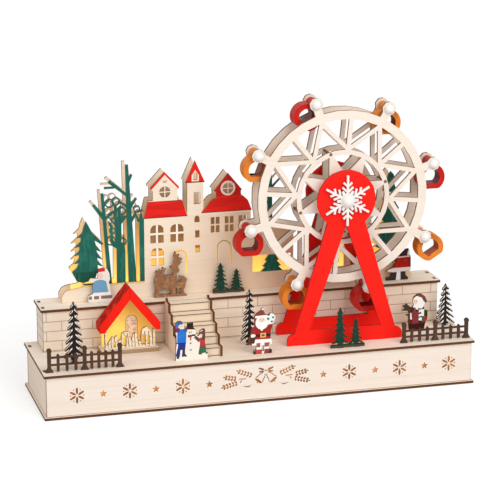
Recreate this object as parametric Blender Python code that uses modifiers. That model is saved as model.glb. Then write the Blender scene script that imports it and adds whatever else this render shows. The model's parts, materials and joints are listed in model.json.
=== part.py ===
"""A christmas village with a ferris wheel, made of laser-cut plywood.

A long lit base carries a lower deck and a raised terrace. Cut-out trees, houses, fences
and figures stand on both by tabs in slots. The wheel turns on a dowel between two red
A-shaped frames, and its eight gondolas hang from pins between its two discs.
Metres, +Z up, with the origin under the middle of the base.
"""
import math

import bmesh
import bpy
from mathutils import Matrix

# Sheet stock and fits
PLY = 0.0025
THICK_PLY = 0.003
CLEAR = 0.0003
TAB_WIDTH = 0.006

# Base box and its two decks
DECK_LENGTH = 0.440
DECK_DEPTH = 0.114
DECK_TOP = 0.045
DECK_OVERHANG = 0.0023
BACK_OVERHANG = 0.005
TERRACE_DEPTH = 0.041
TERRACE_FRONT = DECK_DEPTH - TERRACE_DEPTH
TERRACE_RISE = 0.0443
TERRACE_SETBACK = 0.011

# Stairs from the lower deck to the terrace
STEP_COUNT = 5
STAIR_FOOT = 0.020
LANDING = 0.002
STEP_GOING = (TERRACE_FRONT - STAIR_FOOT - LANDING) / STEP_COUNT
STAIR_WIDTH = 0.0453
STAIR_X = -0.061
CHEEK_RISE = 0.0012
POST_HEIGHT = 0.0041
POST_KNOB = 0.0021

# Wheel and its frames
WHEEL_X = DECK_LENGTH / 2 - 0.1275
AXLE_HEIGHT = 0.147
AXLE_RADIUS = 0.003
FRAME_ROW = TERRACE_FRONT - 0.043
FRAME_HEAD = 0.0303
FRAME_FOOT = 0.0603
FRAME_TOE = 0.006
FRAME_BAR = 0.015
FRAME_LEG_OUT = 0.053
FRAME_LEG_TOP = 0.019
FRAME_LEG_TOP_HEIGHT = 0.126
FRAME_OPENING = 0.0375
FRAME_OPENING_TIP = 0.1216
FRAME_TAB = 0.014
WHEEL_FRONT_GAP = 0.009
WHEEL_REAR_GAP = 0.0027
WHEEL_TURN = -5.8
RIM_RADIUS = 0.088
RIM_INNER = 0.0792
RING_RADIUS = 0.0485
RING_INNER = 0.0435
STAR_INNER = 0.0234
STAR_TIP = 0.0044
SPOKE_WIDTH = 0.0046
PIN_CIRCLE = 0.099
LUG_RADIUS = 0.007
LUG_NECK = 0.0085
SPACER_RADIUS = 0.0015

# Gondolas
GONDOLA_COUNT = 8
PIN_RADIUS = 0.002
GONDOLA_PLAY = 0.002
GONDOLA_RADIUS = 0.0140
GONDOLA_DROP = 0.0152
GONDOLA_SEAT = 0.0058
GONDOLA_FLAT = 0.0116
GONDOLA_CORNER = 0.004
GONDOLA_OPENING = 0.0074
NECK_RADIUS = 0.0045
CAP_RADIUS = 0.005
REAR_CAP_RADIUS = 0.004
REAR_CAP_HEIGHT = 0.0014

# Snowflake on the end of the axle
FLAKE_RADIUS = 0.0256
FLAKE_PLY = 0.002
FLAKE_GAP = 0.002
BUTTON_RADIUS = 0.0065

# Backdrop
BACKDROP_ROW = DECK_DEPTH - 0.0215
BACKDROP_REAR_ROW = DECK_DEPTH - 0.0038
BACKDROP_HEIGHT = 0.1372
BACKDROP_TAB = 0.014

# Stable
STABLE_X = -0.1240
STABLE_ROW = TERRACE_FRONT - 0.023
STABLE_DEPTH = 0.022
STABLE_FLOOR = 0.004
STABLE_HALF = 0.0290
ROOF_HALF = 0.0305
ROOF_THICKNESS = 0.0083
ROOF_PITCH = 51.1
ROOF_EAVE = 0.030
ROOF_LIP = 0.0075

# Battery box in the back panel
CELL_RADIUS = 0.00725
CELL_LENGTH = 0.0495
CELL_NUB_RADIUS = 0.0026
CELL_NUB = 0.001
BOX_WALL = 0.0015
BOX_X = -0.060
FLANGE_PLY = 0.0012
LID_PLY = 0.0012
RAIL_WALL = 0.0012
RAIL_LIP = 0.0015
SWITCH_X = -0.120
SWITCH_SLOT = 0.010
SWITCH_HEIGHT = 0.003
SWITCH_KNOB = 0.005

# Lamp strips
STRIP_MARGIN = 0.020
LAMP_COUNT = 9
LAMP_RADIUS = 0.0025
STRIP_THICKNESS = 0.0015
STRIP_DEPTH = 0.006

# Colours
BIRCH = (0.86, 0.74, 0.58)
RED = (0.80, 0.03, 0.02)
ORANGE = (0.86, 0.38, 0.05)
BROWN = (0.13, 0.06, 0.035)
TAN = (0.42, 0.22, 0.11)
GREEN = (0.02, 0.16, 0.09)
WHITE = (0.90, 0.90, 0.88)
BLUE = (0.25, 0.45, 0.70)
YELLOW = (0.90, 0.65, 0.15)
BLACK = (0.05, 0.05, 0.05)
STEEL = (0.55, 0.56, 0.58)

WELD = 1e-6
UPRIGHT = (math.pi / 2, 0, 0)
UPRIGHT_ENDWISE = (math.pi / 2, 0, math.pi / 2)

for leftover in list(bpy.data.objects):
    bpy.data.objects.remove(leftover, do_unlink=True)

village = bpy.data.collections.new("christmas_village_with_ferris_wheel")
bpy.context.scene.collection.children.link(village)
cutters = bpy.data.collections.new("cutters")
bpy.context.scene.collection.children.link(cutters)

half_length = DECK_LENGTH / 2
half_depth = DECK_DEPTH / 2
terrace_half = half_length - TERRACE_SETBACK
terrace_top = DECK_TOP + TERRACE_RISE
lower_deck = {"top": DECK_TOP, "slots": []}
terrace_deck = {"top": terrace_top, "slots": []}


def row(distance):
    """The place along Y that lies this far behind the deck's front edge."""
    return distance - half_depth


def arc(centre, radius, start, end, steps):
    """Points along a round stretch from one angle to another, in degrees."""
    points = []
    for step in range(steps + 1):
        angle = math.radians(start + (end - start) * step / steps)
        x = centre[0] + radius * math.cos(angle)
        y = centre[1] + radius * math.sin(angle)
        points.append((x, y))
    return points


def circle(centre, radius, steps):
    """A closed ring of points."""
    return arc(centre, radius, 0, 360, steps)[:-1]


def rectangle(left, right, low, high):
    """The four corners of an upright rectangle."""
    return [(left, low), (right, low), (right, high), (left, high)]


def turned(points, degrees):
    """The points turned about the origin."""
    cosine = math.cos(math.radians(degrees))
    sine = math.sin(math.radians(degrees))
    return [(x * cosine - y * sine, x * sine + y * cosine) for x, y in points]


def moved(points, x_shift, y_shift):
    """The points moved along."""
    return [(x + x_shift, y + y_shift) for x, y in points]


def mirrored(points):
    """The points reflected left to right, in the opposite order."""
    return [(-x, y) for x, y in reversed(points)]


def scaled(points, factor):
    """A drawing's points brought to real size."""
    return [(x * factor, y * factor) for x, y in points]


def with_tabs(outline, centres, width, depth):
    """The outline with a tab let down from its flat foot at each centre."""
    result = []
    for index, (x, z) in enumerate(outline):
        result.append((x, z))
        next_x, next_z = outline[(index + 1) % len(outline)]
        if abs(z) > WELD or abs(next_z) > WELD:
            continue
        way = 1 if next_x > x else -1
        for centre in sorted(centres, reverse=way < 0):
            if min(x, next_x) < centre < max(x, next_x):
                near = centre - way * width / 2
                far = centre + way * width / 2
                result += [(near, 0), (near, -depth), (far, -depth), (far, 0)]
    return result


def finish(piece, colour, roughness=0.6, metallic=0.0):
    """Gives a piece a material of its own."""
    material = bpy.data.materials.new(piece.name + "_finish")
    material.use_nodes = True
    shader = material.node_tree.nodes["Principled BSDF"]
    shader.inputs["Base Color"].default_value = (*colour, 1)
    shader.inputs["Roughness"].default_value = roughness
    shader.inputs["Metallic"].default_value = metallic
    piece.data.materials.clear()
    piece.data.materials.append(material)
    return piece


def sheet(name, loops, thickness, collection=village):
    """A flat piece cut from sheet: the first loop is its outline, the others its holes."""
    curve = bpy.data.curves.new(name, "CURVE")
    curve.dimensions = "2D"
    curve.fill_mode = "BOTH"
    curve.extrude = thickness / 2
    for loop in loops:
        spline = curve.splines.new("POLY")
        spline.points.add(len(loop) - 1)
        for point, (x, y) in zip(spline.points, loop):
            point.co = (x, y, 0, 1)
        spline.use_cyclic_u = True
    piece = bpy.data.objects.new(name, curve)
    collection.objects.link(piece)
    return piece


def block(name, size, centre, collection=village):
    """A rectangular block of a given size about a given centre."""
    shape = bmesh.new()
    bmesh.ops.create_cube(shape, size=1, matrix=Matrix.Diagonal((*size, 1)))
    mesh = bpy.data.meshes.new(name)
    shape.to_mesh(mesh)
    shape.free()
    piece = bpy.data.objects.new(name, mesh)
    piece.location = centre
    collection.objects.link(piece)
    return piece


def lathe(name, profile, steps, collection=village):
    """A piece turned about Z from a profile that runs down its outer side."""
    mesh = bpy.data.meshes.new(name)
    edges = [(index, index + 1) for index in range(len(profile) - 1)]
    mesh.from_pydata([(radius, 0, height) for radius, height in profile], edges, [])
    piece = bpy.data.objects.new(name, mesh)
    collection.objects.link(piece)
    screw = piece.modifiers.new("turn", "SCREW")
    screw.axis = "Z"
    screw.steps = steps
    screw.render_steps = steps
    screw.use_merge_vertices = True
    screw.merge_threshold = WELD
    screw.use_smooth_shade = True
    return piece


def as_mesh(piece, collection=village):
    """The piece as an ordinary welded mesh in its own space, in place of the original."""
    bpy.context.view_layer.update()
    graph = bpy.context.evaluated_depsgraph_get()
    mesh = bpy.data.meshes.new_from_object(piece.evaluated_get(graph))
    shape = bmesh.new()
    shape.from_mesh(mesh)
    bmesh.ops.remove_doubles(shape, verts=shape.verts, dist=WELD)
    shape.to_mesh(mesh)
    shape.free()
    name = piece.name
    place = piece.matrix_world.copy()
    bpy.data.objects.remove(piece, do_unlink=True)
    solid = bpy.data.objects.new(name, mesh)
    solid.matrix_world = place
    collection.objects.link(solid)
    return solid


def combine(target, other, operation):
    """Adds or cuts another solid by an exact Boolean, and puts the other away."""
    other.hide_render = True
    other.display_type = "WIRE"
    boolean = target.modifiers.new(operation.lower(), "BOOLEAN")
    boolean.operation = operation
    boolean.solver = "EXACT"
    boolean.object = other
    return target


def standing(name, deck, outline, x, front, tabs, colour, holes=(), ply=PLY, tab=TAB_WIDTH):
    """An upright sheet whose tabs sit in slots of the deck below it."""
    loops = [with_tabs(outline, tabs, tab, PLY), *holes]
    piece = sheet(name, loops, ply)
    middle = row(front) + ply / 2
    piece.location = (x, middle, deck["top"] + CLEAR)
    piece.rotation_euler = UPRIGHT
    for centre in tabs:
        reach = tab / 2 + CLEAR
        slot = rectangle(x + centre - reach, x + centre + reach,
                         middle - ply / 2 - CLEAR, middle + ply / 2 + CLEAR)
        deck["slots"].append(slot)
    return finish(piece, colour)


# Base panels. The front panel's cut-outs let the lamplight through.

panel_low = PLY + CLEAR
panel_high = DECK_TOP - PLY - CLEAR
panel_middle = (panel_low + panel_high) / 2
panel_half_height = (panel_high - panel_low) / 2
panel_half_length = half_length - DECK_OVERHANG
front_panel_back = DECK_OVERHANG + PLY
back_panel_rear = DECK_DEPTH - BACK_OVERHANG
back_panel_front = back_panel_rear - PLY


def petal(length, width, start=0.0):
    """A slim pointed leaf along +X."""
    middle = start + length * 0.5
    return [(start, 0), (middle, -width / 2), (start + length, 0), (middle, width / 2)]


def snow_cutouts(radius):
    """A snowflake of six slim petals."""
    arm = petal(radius * 0.84, radius * 0.2, radius * 0.16)
    return [turned(arm, 90 + 60 * index) for index in range(6)]


def star_cutout(radius):
    """A five-pointed star with one point up."""
    points = []
    for corner in range(10):
        reach = radius if corner % 2 == 0 else radius * 0.42
        points += arc((0, 0), reach, 90 + 36 * corner, 90 + 36 * corner, 1)[:1]
    return points


def bell_cutouts(height):
    """A bell drawn by two curved side strokes, a mouth and a clapper."""
    outer = [(0.10, 1.0), (0.26, 0.82), (0.32, 0.45), (0.5, 0.2)]
    inner = [(0.38, 0.22), (0.2, 0.45), (0.16, 0.76), (0.06, 0.86)]
    side = scaled(outer + inner, height)
    mouth = scaled([(-0.42, 0.06), (0, -0.02), (0.42, 0.06), (0, 0.13)], height)
    clapper = moved(circle((0, 0), height * 0.09, 6), 0, -height * 0.16)
    return [side, mirrored(side), mouth, clapper]


def twig_cutouts(leaf):
    """A twig of three leaves: one ahead and one slanting to each side."""
    ahead = petal(leaf, leaf * 0.34, leaf * 0.25)
    upper = moved(turned(petal(leaf, leaf * 0.34, leaf * 0.2), 55), -leaf * 0.15, leaf * 0.1)
    lower = moved(turned(petal(leaf, leaf * 0.34, leaf * 0.2), -55), -leaf * 0.15, -leaf * 0.1)
    return [ahead, upper, lower]


FLAKE_CUTOUT = 0.0075
STAR_CUTOUT = 0.0037
FLAKE_PLACES = (0.388, 0.629, 0.867)
STAR_PLACES = (0.266, 0.511, 0.749)
STAR_DROP = 0.0009
PATTERN_SHIFT = 0.0028
BELL_HEIGHT = 0.010
LEAF = 0.0055
SWOOSH_RADIUS = 0.050
SWOOSH_WIDTH = 0.0009

front_cuts = []
for place in FLAKE_PLACES:
    for side in (-1, 1):
        for cut in snow_cutouts(FLAKE_CUTOUT):
            front_cuts.append(moved(cut, side * place * half_length, 0))
for place in STAR_PLACES:
    for side in (-1, 1):
        star = star_cutout(STAR_CUTOUT)
        front_cuts.append(moved(star, side * place * half_length, -STAR_DROP))

garland = []
for cut in bell_cutouts(BELL_HEIGHT):
    garland.append(moved(turned(cut, -35), -BELL_HEIGHT * 0.75, -BELL_HEIGHT * 0.35))
for cut in bell_cutouts(BELL_HEIGHT):
    garland.append(moved(turned(cut, 35), BELL_HEIGHT * 0.75, -BELL_HEIGHT * 0.35))
bow_height = BELL_HEIGHT * 0.95
garland.append(moved(circle((0, 0), BELL_HEIGHT * 0.11, 6), 0, bow_height))
half_garland = []
bow = petal(0.9, 0.22, 0.18)
sprig = petal(1.0, 0.12, 0.1)
for angle in (28, -4):
    half_garland.append(moved(turned(scaled(bow, BELL_HEIGHT), angle), 0, bow_height))
twig_places = ((2.2, 0.15, 8), (3.1, 0.42, 20), (4.0, 0.25, -6))
for along, up, angle in twig_places:
    for cut in twig_cutouts(LEAF):
        half_garland.append(moved(turned(cut, angle), along * BELL_HEIGHT, up * BELL_HEIGHT))
for angle in (25, 8):
    leaf = turned(scaled(sprig, BELL_HEIGHT), angle)
    half_garland.append(moved(leaf, 1.45 * BELL_HEIGHT, 0.9 * BELL_HEIGHT))
swoosh = arc((0, 0), SWOOSH_RADIUS, 60, 84, 4)
swoosh += arc((0, 0), SWOOSH_RADIUS - SWOOSH_WIDTH, 84, 60, 4)
half_garland.append(moved(swoosh, BELL_HEIGHT, -SWOOSH_RADIUS - 0.45 * BELL_HEIGHT))
for cut in half_garland:
    garland.append(cut)
    garland.append(mirrored(cut))

front_outline = rectangle(-panel_half_length, panel_half_length,
                          -panel_half_height, panel_half_height)
pattern = [moved(cut, PATTERN_SHIFT, 0) for cut in front_cuts + garland]
base_front_panel = sheet("base_front_panel", [front_outline, *pattern], PLY)
base_front_panel.location = (0, row(DECK_OVERHANG) + PLY / 2, panel_middle)
base_front_panel.rotation_euler = UPRIGHT
finish(base_front_panel, BIRCH)

cavity_width = CELL_LENGTH + CELL_NUB + 2 * CLEAR
cavity_height = 4 * CELL_RADIUS + 3 * CLEAR
box_width = cavity_width + 2 * BOX_WALL
box_height = cavity_height + 2 * BOX_WALL
box_hole = rectangle(BOX_X - box_width / 2 - CLEAR, BOX_X + box_width / 2 + CLEAR,
                     -box_height / 2 - CLEAR, box_height / 2 + CLEAR)
switch_hole = rectangle(SWITCH_X - SWITCH_SLOT / 2, SWITCH_X + SWITCH_SLOT / 2,
                        -SWITCH_HEIGHT / 2 - CLEAR, SWITCH_HEIGHT / 2 + CLEAR)
base_back_panel = sheet("base_back_panel", [front_outline, box_hole, switch_hole], PLY)
base_back_panel.location = (0, row(back_panel_rear) - PLY / 2, panel_middle)
base_back_panel.rotation_euler = UPRIGHT
finish(base_back_panel, BIRCH)


def end_wall(name, deck, x, front, back, low, high, tab_places):
    """A wall across the depth, with tabs up into the deck above it."""
    half = (back - front) / 2
    half_height = (high - low) / 2
    middle = (front + back) / 2
    tab_height = half_height + CLEAR + PLY
    outline = [(-half, -half_height), (half, -half_height), (half, half_height)]
    for place in sorted(tab_places, reverse=True):
        near = place - middle + TAB_WIDTH / 2
        far = place - middle - TAB_WIDTH / 2
        outline += [(near, half_height), (near, tab_height)]
        outline += [(far, tab_height), (far, half_height)]
        reach = TAB_WIDTH / 2 + CLEAR
        deck["slots"].append(rectangle(x - PLY / 2 - CLEAR, x + PLY / 2 + CLEAR,
                                       row(place) - reach, row(place) + reach))
    outline.append((-half, half_height))
    wall = sheet(name, [outline], PLY)
    wall.location = (x, row(middle), (low + high) / 2)
    wall.rotation_euler = UPRIGHT_ENDWISE
    return finish(wall, BIRCH)


END_TAB_INSET = 0.012
END_TAB_INSET_REAR = 0.006
end_wall_front = front_panel_back + CLEAR
end_wall_back = back_panel_front - CLEAR
end_wall_x = panel_half_length - PLY / 2
end_tabs = (end_wall_front + END_TAB_INSET, end_wall_back - END_TAB_INSET_REAR)
for side, name in ((-1, "base_left_panel"), (1, "base_right_panel")):
    end_wall(name, lower_deck, side * end_wall_x, end_wall_front, end_wall_back,
             panel_low, panel_high, end_tabs)

# Terrace walls, which carry the terrace deck

terrace_low = DECK_TOP + CLEAR
terrace_high = terrace_top - PLY - CLEAR
terrace_wall_half = terrace_half - DECK_OVERHANG
terrace_wall_front = TERRACE_FRONT + DECK_OVERHANG
terrace_wall_rear = DECK_DEPTH - DECK_OVERHANG
for name, front in (("terrace_front_wall", terrace_wall_front),
                    ("terrace_back_wall", terrace_wall_rear - PLY)):
    wall = sheet(name, [rectangle(-terrace_wall_half, terrace_wall_half,
                                  0, terrace_high - terrace_low)], PLY)
    wall.location = (0, row(front) + PLY / 2, terrace_low)
    wall.rotation_euler = UPRIGHT
    finish(wall, BIRCH)

side_wall_front = terrace_wall_front + PLY + CLEAR
side_wall_back = terrace_wall_rear - PLY - CLEAR
side_wall_tabs = (side_wall_front + TAB_WIDTH / 2 + PLY / 2,
                  side_wall_back - TAB_WIDTH / 2 - PLY / 2)
for side, name in ((-1, "terrace_left_wall"), (1, "terrace_right_wall")):
    end_wall(name, terrace_deck, side * (terrace_wall_half - PLY / 2), side_wall_front,
             side_wall_back, terrace_low, terrace_high, side_wall_tabs)

# Stairs: five folded steps between two saw-tooth cheeks

step_rise = TERRACE_RISE / STEP_COUNT
inner_half = STAIR_WIDTH / 2 - PLY - CLEAR


def step_outline(step):
    """A riser with its tread, seen from the end, in distance behind the front edge."""
    front = STAIR_FOOT + step * STEP_GOING
    low = step * step_rise + CLEAR
    high = (step + 1) * step_rise
    if step < STEP_COUNT - 1:
        back = front + STEP_GOING + PLY
    else:
        back = TERRACE_FRONT - CLEAR
    return [(front, low), (front + PLY, low), (front + PLY, high - PLY),
            (back, high - PLY), (back, high), (front, high)]


for step in range(STEP_COUNT):
    tread = sheet(f"stair_step_{step + 1}", [moved(step_outline(step), -half_depth, 0)],
                  2 * inner_half)
    tread.location = (STAIR_X, 0, DECK_TOP)
    tread.rotation_euler = UPRIGHT_ENDWISE
    finish(tread, BIRCH)

cheek_back = TERRACE_FRONT - CLEAR
post_width = PLY
post_middle = cheek_back - POST_KNOB
post_top = TERRACE_RISE + POST_HEIGHT
cheek_outline = [(cheek_back, CLEAR), (STAIR_FOOT - PLY, CLEAR)]
for step in range(STEP_COUNT):
    nose = STAIR_FOOT - PLY + step * STEP_GOING
    cheek_outline.append((nose, (step + 1) * step_rise + CHEEK_RISE))
    if step < STEP_COUNT - 1:
        cheek_outline.append((nose + STEP_GOING, (step + 1) * step_rise + CHEEK_RISE))
cheek_outline.append((post_middle - post_width / 2, TERRACE_RISE + CHEEK_RISE))
cheek_outline += arc((post_middle, post_top - POST_KNOB), POST_KNOB, 220, -40, 8)
cheek_outline.append((post_middle + post_width / 2, TERRACE_RISE + CHEEK_RISE))
cheek_outline.append((cheek_back, TERRACE_RISE))
for side, name in ((-1, "stair_left_cheek"), (1, "stair_right_cheek")):
    cheek = sheet(name, [moved(cheek_outline, -half_depth, 0)], PLY)
    cheek.location = (STAIR_X + side * (STAIR_WIDTH - PLY) / 2, 0, DECK_TOP)
    cheek.rotation_euler = UPRIGHT_ENDWISE
    finish(cheek, BIRCH)

# Fences along the front edge

LEFT_FENCE_HEIGHT = 0.0190
RIGHT_FENCE_HEIGHT = 0.0157
FENCE_POST = 0.0035
FENCE_FOOT = 0.0042
FENCE_KNOB = 0.0026
FENCE_RAIL = 0.0016
PICKET_WIDTH = 0.0026
PICKET_LIFT = 0.0006
FENCE_ROW = 0.0105


def fence(name, centre, length, height, bay_pickets):
    """A fence of posts with round knobs, two rails and short pickets between."""
    low_rail = height * 0.415
    high_rail = height * 0.805
    picket_top = height * 0.951
    bays = len(bay_pickets)
    bay = length / bays
    posts = [-length / 2 + bay * index for index in range(bays + 1)]
    top = []
    foot = []
    holes = []
    for index, post in enumerate(posts):
        half = FENCE_POST / 2
        knob_height = height + FENCE_KNOB
        left_rail = index > 0
        right_rail = index < bays
        if left_rail:
            top.append((post - half, high_rail))
            foot.append((post - half, low_rail - FENCE_RAIL))
        else:
            foot.append((post - half, FENCE_FOOT))
        top += arc((post, knob_height), FENCE_KNOB, 225, -45, 5)
        foot += [(post - FENCE_FOOT, 0), (post + FENCE_FOOT, 0)]
        if left_rail:
            foot.insert(len(foot) - 2, (post - half, FENCE_FOOT))
        foot.append((post + half, FENCE_FOOT))
        if not right_rail:
            continue
        top.append((post + half, high_rail))
        foot.append((post + half, low_rail - FENCE_RAIL))
        count = bay_pickets[index]
        edges = [post + half]
        for picket in range(count):
            middle = post + bay * (picket + 1) / (count + 1)
            left = middle - PICKET_WIDTH / 2
            right = middle + PICKET_WIDTH / 2
            top += [(left, high_rail), (left, picket_top - PICKET_WIDTH / 2)]
            top += [(middle, picket_top), (right, picket_top - PICKET_WIDTH / 2)]
            top.append((right, high_rail))
            foot += [(left, low_rail - FENCE_RAIL), (left, PICKET_LIFT)]
            foot += [(right, PICKET_LIFT), (right, low_rail - FENCE_RAIL)]
            edges += [left, right]
        edges.append(post + bay - half)
        for left, right in zip(edges[::2], edges[1::2]):
            holes.append(rectangle(left, right, low_rail, high_rail - FENCE_RAIL))
    outline = foot + list(reversed(top))
    tabs = [posts[0], posts[-1]]
    standing(name, lower_deck, outline, centre, FENCE_ROW, tabs, BROWN, holes)


LEFT_FENCE = 0.0696
RIGHT_FENCE = 0.0665
FENCE_END = 0.0074
RIGHT_FENCE_END = 0.0048
fence("left_fence", -half_length + FENCE_END + LEFT_FENCE / 2, LEFT_FENCE,
      LEFT_FENCE_HEIGHT, (3, 4))
fence("right_fence", half_length - RIGHT_FENCE_END - RIGHT_FENCE / 2, RIGHT_FENCE,
      RIGHT_FENCE_HEIGHT, (3, 3))

# Firs

FIR_TRUNK = 0.0019
FIR_TWIG = 0.0014
FIR_STEM = 0.0015
FIR_GROUND = 0.0015


def open_fir(height, spread, tiers):
    """A bare fir: a slim trunk with thin drooping branches on both sides."""
    foot = height * 0.16
    right = [(FIR_TRUNK * 2, 0), (FIR_TRUNK, foot * 0.6)]
    for tier in range(tiers):
        share = tier / tiers
        root = foot + (height - foot) * share * 0.86
        reach = FIR_TRUNK + (spread - FIR_TRUNK) * (1 - share * 0.72)
        droop = (height / tiers) * (0.42 - share * 0.2)
        lean = FIR_TRUNK * (1 - share * 0.5)
        right += [(lean, root), (reach, root - droop), (lean, root + 2.2 * FIR_TWIG)]
    right.append((0, height))
    return right + mirrored(right)[1:]


def full_fir_side(height, spread, tiers, stem):
    """The right edge of a full fir, from the top of its stem to its tip."""
    points = []
    for tier in range(tiers):
        share = tier / tiers
        low = height * (0.08 + 0.92 * share)
        rise = height * 0.92 / tiers
        reach = stem + (spread - stem) * (1 - share)
        points += [(reach, low), (stem * 0.4 + reach * 0.46, low + rise * 0.66)]
    points.append((0, height))
    return points


def full_fir(height, spread, tiers, stem):
    """A full fir's edge from the left of its stem over the tip to the right of its stem."""
    right = full_fir_side(height, spread, tiers, stem)
    return [(-x, z) for x, z in right] + list(reversed(right))[1:]


DARK_FIR_HEIGHT = 0.0577
LEFT_FIR_HEIGHT = 0.0616
RIGHT_FIR_HEIGHT = 0.0445
FIR_TIERS = 5
LEFT_FIR_END = 0.037
RIGHT_FIR_END = 0.0108
MIDDLE_FIR_X = -0.003
LEFT_FIR_ROW = 0.037
MIDDLE_FIR_ROW = 0.046
RIGHT_FIR_ROW = TERRACE_FRONT - 0.016
FIR_SPREAD = 0.0100
standing("dark_fir_left", lower_deck, open_fir(LEFT_FIR_HEIGHT, FIR_SPREAD, FIR_TIERS),
         -half_length + LEFT_FIR_END, LEFT_FIR_ROW, [0], BROWN)
standing("dark_fir_middle", lower_deck, open_fir(DARK_FIR_HEIGHT, FIR_SPREAD * 0.85, FIR_TIERS),
         MIDDLE_FIR_X, MIDDLE_FIR_ROW, [0], BROWN)
standing("dark_fir_right", lower_deck, open_fir(RIGHT_FIR_HEIGHT, FIR_SPREAD, FIR_TIERS),
         half_length - RIGHT_FIR_END, RIGHT_FIR_ROW, [0], BROWN)


def fir_pair(name, deck, height, centre, front, trees, tiers):
    """Two full firs of unlike height, drawn in hundredths of the taller one's height."""
    grid = height / 100
    outline = []
    for x, tree_height, spread in trees:
        tree = full_fir(tree_height * grid - FIR_GROUND, spread * grid, tiers, FIR_STEM)
        outline += moved(tree, x * grid, FIR_GROUND)
        if x < trees[-1][0]:
            outline.append(((x + trees[-1][0]) / 2 * grid, FIR_GROUND))
    left = (trees[0][0] - trees[0][2]) * grid
    right = (trees[-1][0] + trees[-1][2]) * grid
    outline = [(left, 0), (left, FIR_GROUND)] + outline + [(right, FIR_GROUND), (right, 0)]
    tabs = [x * grid for x, tree_height, spread in trees]
    standing(name, deck, outline, centre, front, tabs, GREEN)


SMALL_FIR_HEIGHT = 0.0417
SMALL_FIR_X = WHEEL_X - 0.0018
SMALL_FIR_ROW = 0.012
fir_pair("small_firs", lower_deck, SMALL_FIR_HEIGHT, SMALL_FIR_X, SMALL_FIR_ROW,
         ((-21, 100, 24), (22, 61.5, 18)), 6)
TERRACE_FIR_HEIGHT = 0.0316
TERRACE_FIR_X = -0.0128
TERRACE_FIR_ROW = TERRACE_FRONT + 0.013
fir_pair("terrace_firs", terrace_deck, TERRACE_FIR_HEIGHT, TERRACE_FIR_X, TERRACE_FIR_ROW,
         ((-25.5, 100, 30), (27, 69.5, 21.5)), 6)

# Figures, each drawn in hundredths of its own height


def figure(name, deck, height, x, front, drawing, tabs, colour, holes=()):
    """A standing figure cut along its outline."""
    grid = height / 100
    cuts = [scaled(hole, grid) for hole in holes]
    places = [place * grid for place in tabs]
    standing(name, deck, scaled(drawing, grid), x, front, places, colour, cuts)


SNOWMAN_HEIGHT = 0.0417
SNOWMAN_X = -0.0728
SNOWMAN_ROW = 0.0140
figure("snowman_group", lower_deck, SNOWMAN_HEIGHT, SNOWMAN_X, SNOWMAN_ROW,
       [(-35, 0), (34, 0), (35, 10), (29, 30), (28, 50), (30, 60), (29, 74), (24, 78),
        (17, 76), (16, 64), (14, 57), (6, 61), (6, 76), (2, 81), (3, 96), (-9, 96),
        (-10, 82), (-13, 77), (-18, 79), (-18, 90), (-22, 99), (-30, 100), (-35, 95),
        (-36, 82), (-37, 70), (-34, 58), (-34, 40), (-32, 22), (-37, 8)],
       [-20, 18], WHITE)

CHRISTMAS_HEIGHT = 0.0466
CHRISTMAS_X = 0.0021
CHRISTMAS_ROW = 0.0150
figure("father_christmas", lower_deck, CHRISTMAS_HEIGHT, CHRISTMAS_X, CHRISTMAS_ROW,
       [(-20, 0), (20, 0), (20, 7), (13, 9), (13, 19), (20, 20), (20, 28), (17, 32),
        (18, 50), (22, 63), (28, 78), (26, 86), (17, 88), (10, 83), (6, 87), (2, 93),
        (3, 99), (-2, 100), (-4, 95), (-9, 92), (-15, 88), (-18, 82), (-18, 68),
        (-17, 60), (-24, 55), (-26, 46), (-26, 38), (-30, 35), (-30, 21), (-20, 19),
        (-14, 19), (-14, 9), (-20, 7)],
       [-11, 11], RED, [[(-3, 5), (3, 5), (3, 18), (-3, 18)]])

SLEIGH_HEIGHT = 0.0373
SLEIGH_X = WHEEL_X + 0.082
SLEIGH_ROW = TERRACE_FRONT - 0.021
figure("sleigh_figure", lower_deck, SLEIGH_HEIGHT, SLEIGH_X, SLEIGH_ROW,
       [(-16, 0), (27, 0), (29, 12), (36, 28), (36, 51), (27, 53), (25, 64), (27, 73),
        (31, 72), (34, 79), (28, 92), (17, 100), (5, 99), (-4, 92), (-7, 80), (-4, 70),
        (-9, 62), (-16, 66), (-24, 74), (-36, 68), (-30, 60), (-38, 56), (-20, 54),
        (-17, 44), (-27, 43), (-18, 36), (-19, 20), (-17, 8)],
       [-6, 17], RED)

SLEDGE_HEIGHT = 0.0348
SLEDGE_X = -0.1455
SLEDGE_ROW = TERRACE_FRONT + 0.0136
figure("sledge_child", terrace_deck, SLEDGE_HEIGHT, SLEDGE_X, SLEDGE_ROW,
       [(-35, 0), (36, 0), (38, 10), (30, 20), (27, 30), (27, 45), (23, 56), (27, 66),
        (25, 84), (18, 98), (8, 100), (-6, 97), (-8, 82), (-9, 70), (-30, 72),
        (-35, 66), (-22, 58), (-25, 40), (-23, 26), (-37, 20), (-38, 5)],
       [-18, 18], BLUE)

REINDEER_HEIGHT = 0.0441
REINDEER_X = -0.0745
REINDEER_ROW = TERRACE_FRONT + 0.0136
figure("reindeer_pair", terrace_deck, REINDEER_HEIGHT, REINDEER_X, REINDEER_ROW,
       [(-36, 0), (37, 0), (34, 20), (37, 36), (35, 46), (30, 41), (18, 41), (15, 46),
        (14, 58), (17, 66), (24, 70), (16, 73), (18, 82), (24, 88), (18, 88), (16, 98),
        (13, 88), (10, 80), (7, 90), (4, 100), (3, 88), (-3, 90), (3, 80), (4, 74),
        (-4, 66), (-4, 61), (4, 60), (4, 50), (-3, 52), (-8, 60), (-12, 60), (-14, 69),
        (-18, 62), (-24, 68), (-22, 59), (-31, 60), (-24, 52), (-34, 46), (-31, 36),
        (-37, 20)],
       [-22, 22], TAN,
       [[(9, 6), (14, 6), (13, 20), (9, 19)], [(20, 6), (28, 6), (28, 20), (20, 20)],
        [(-27, 5), (-12, 5), (-14, 14), (-26, 15)]])

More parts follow.
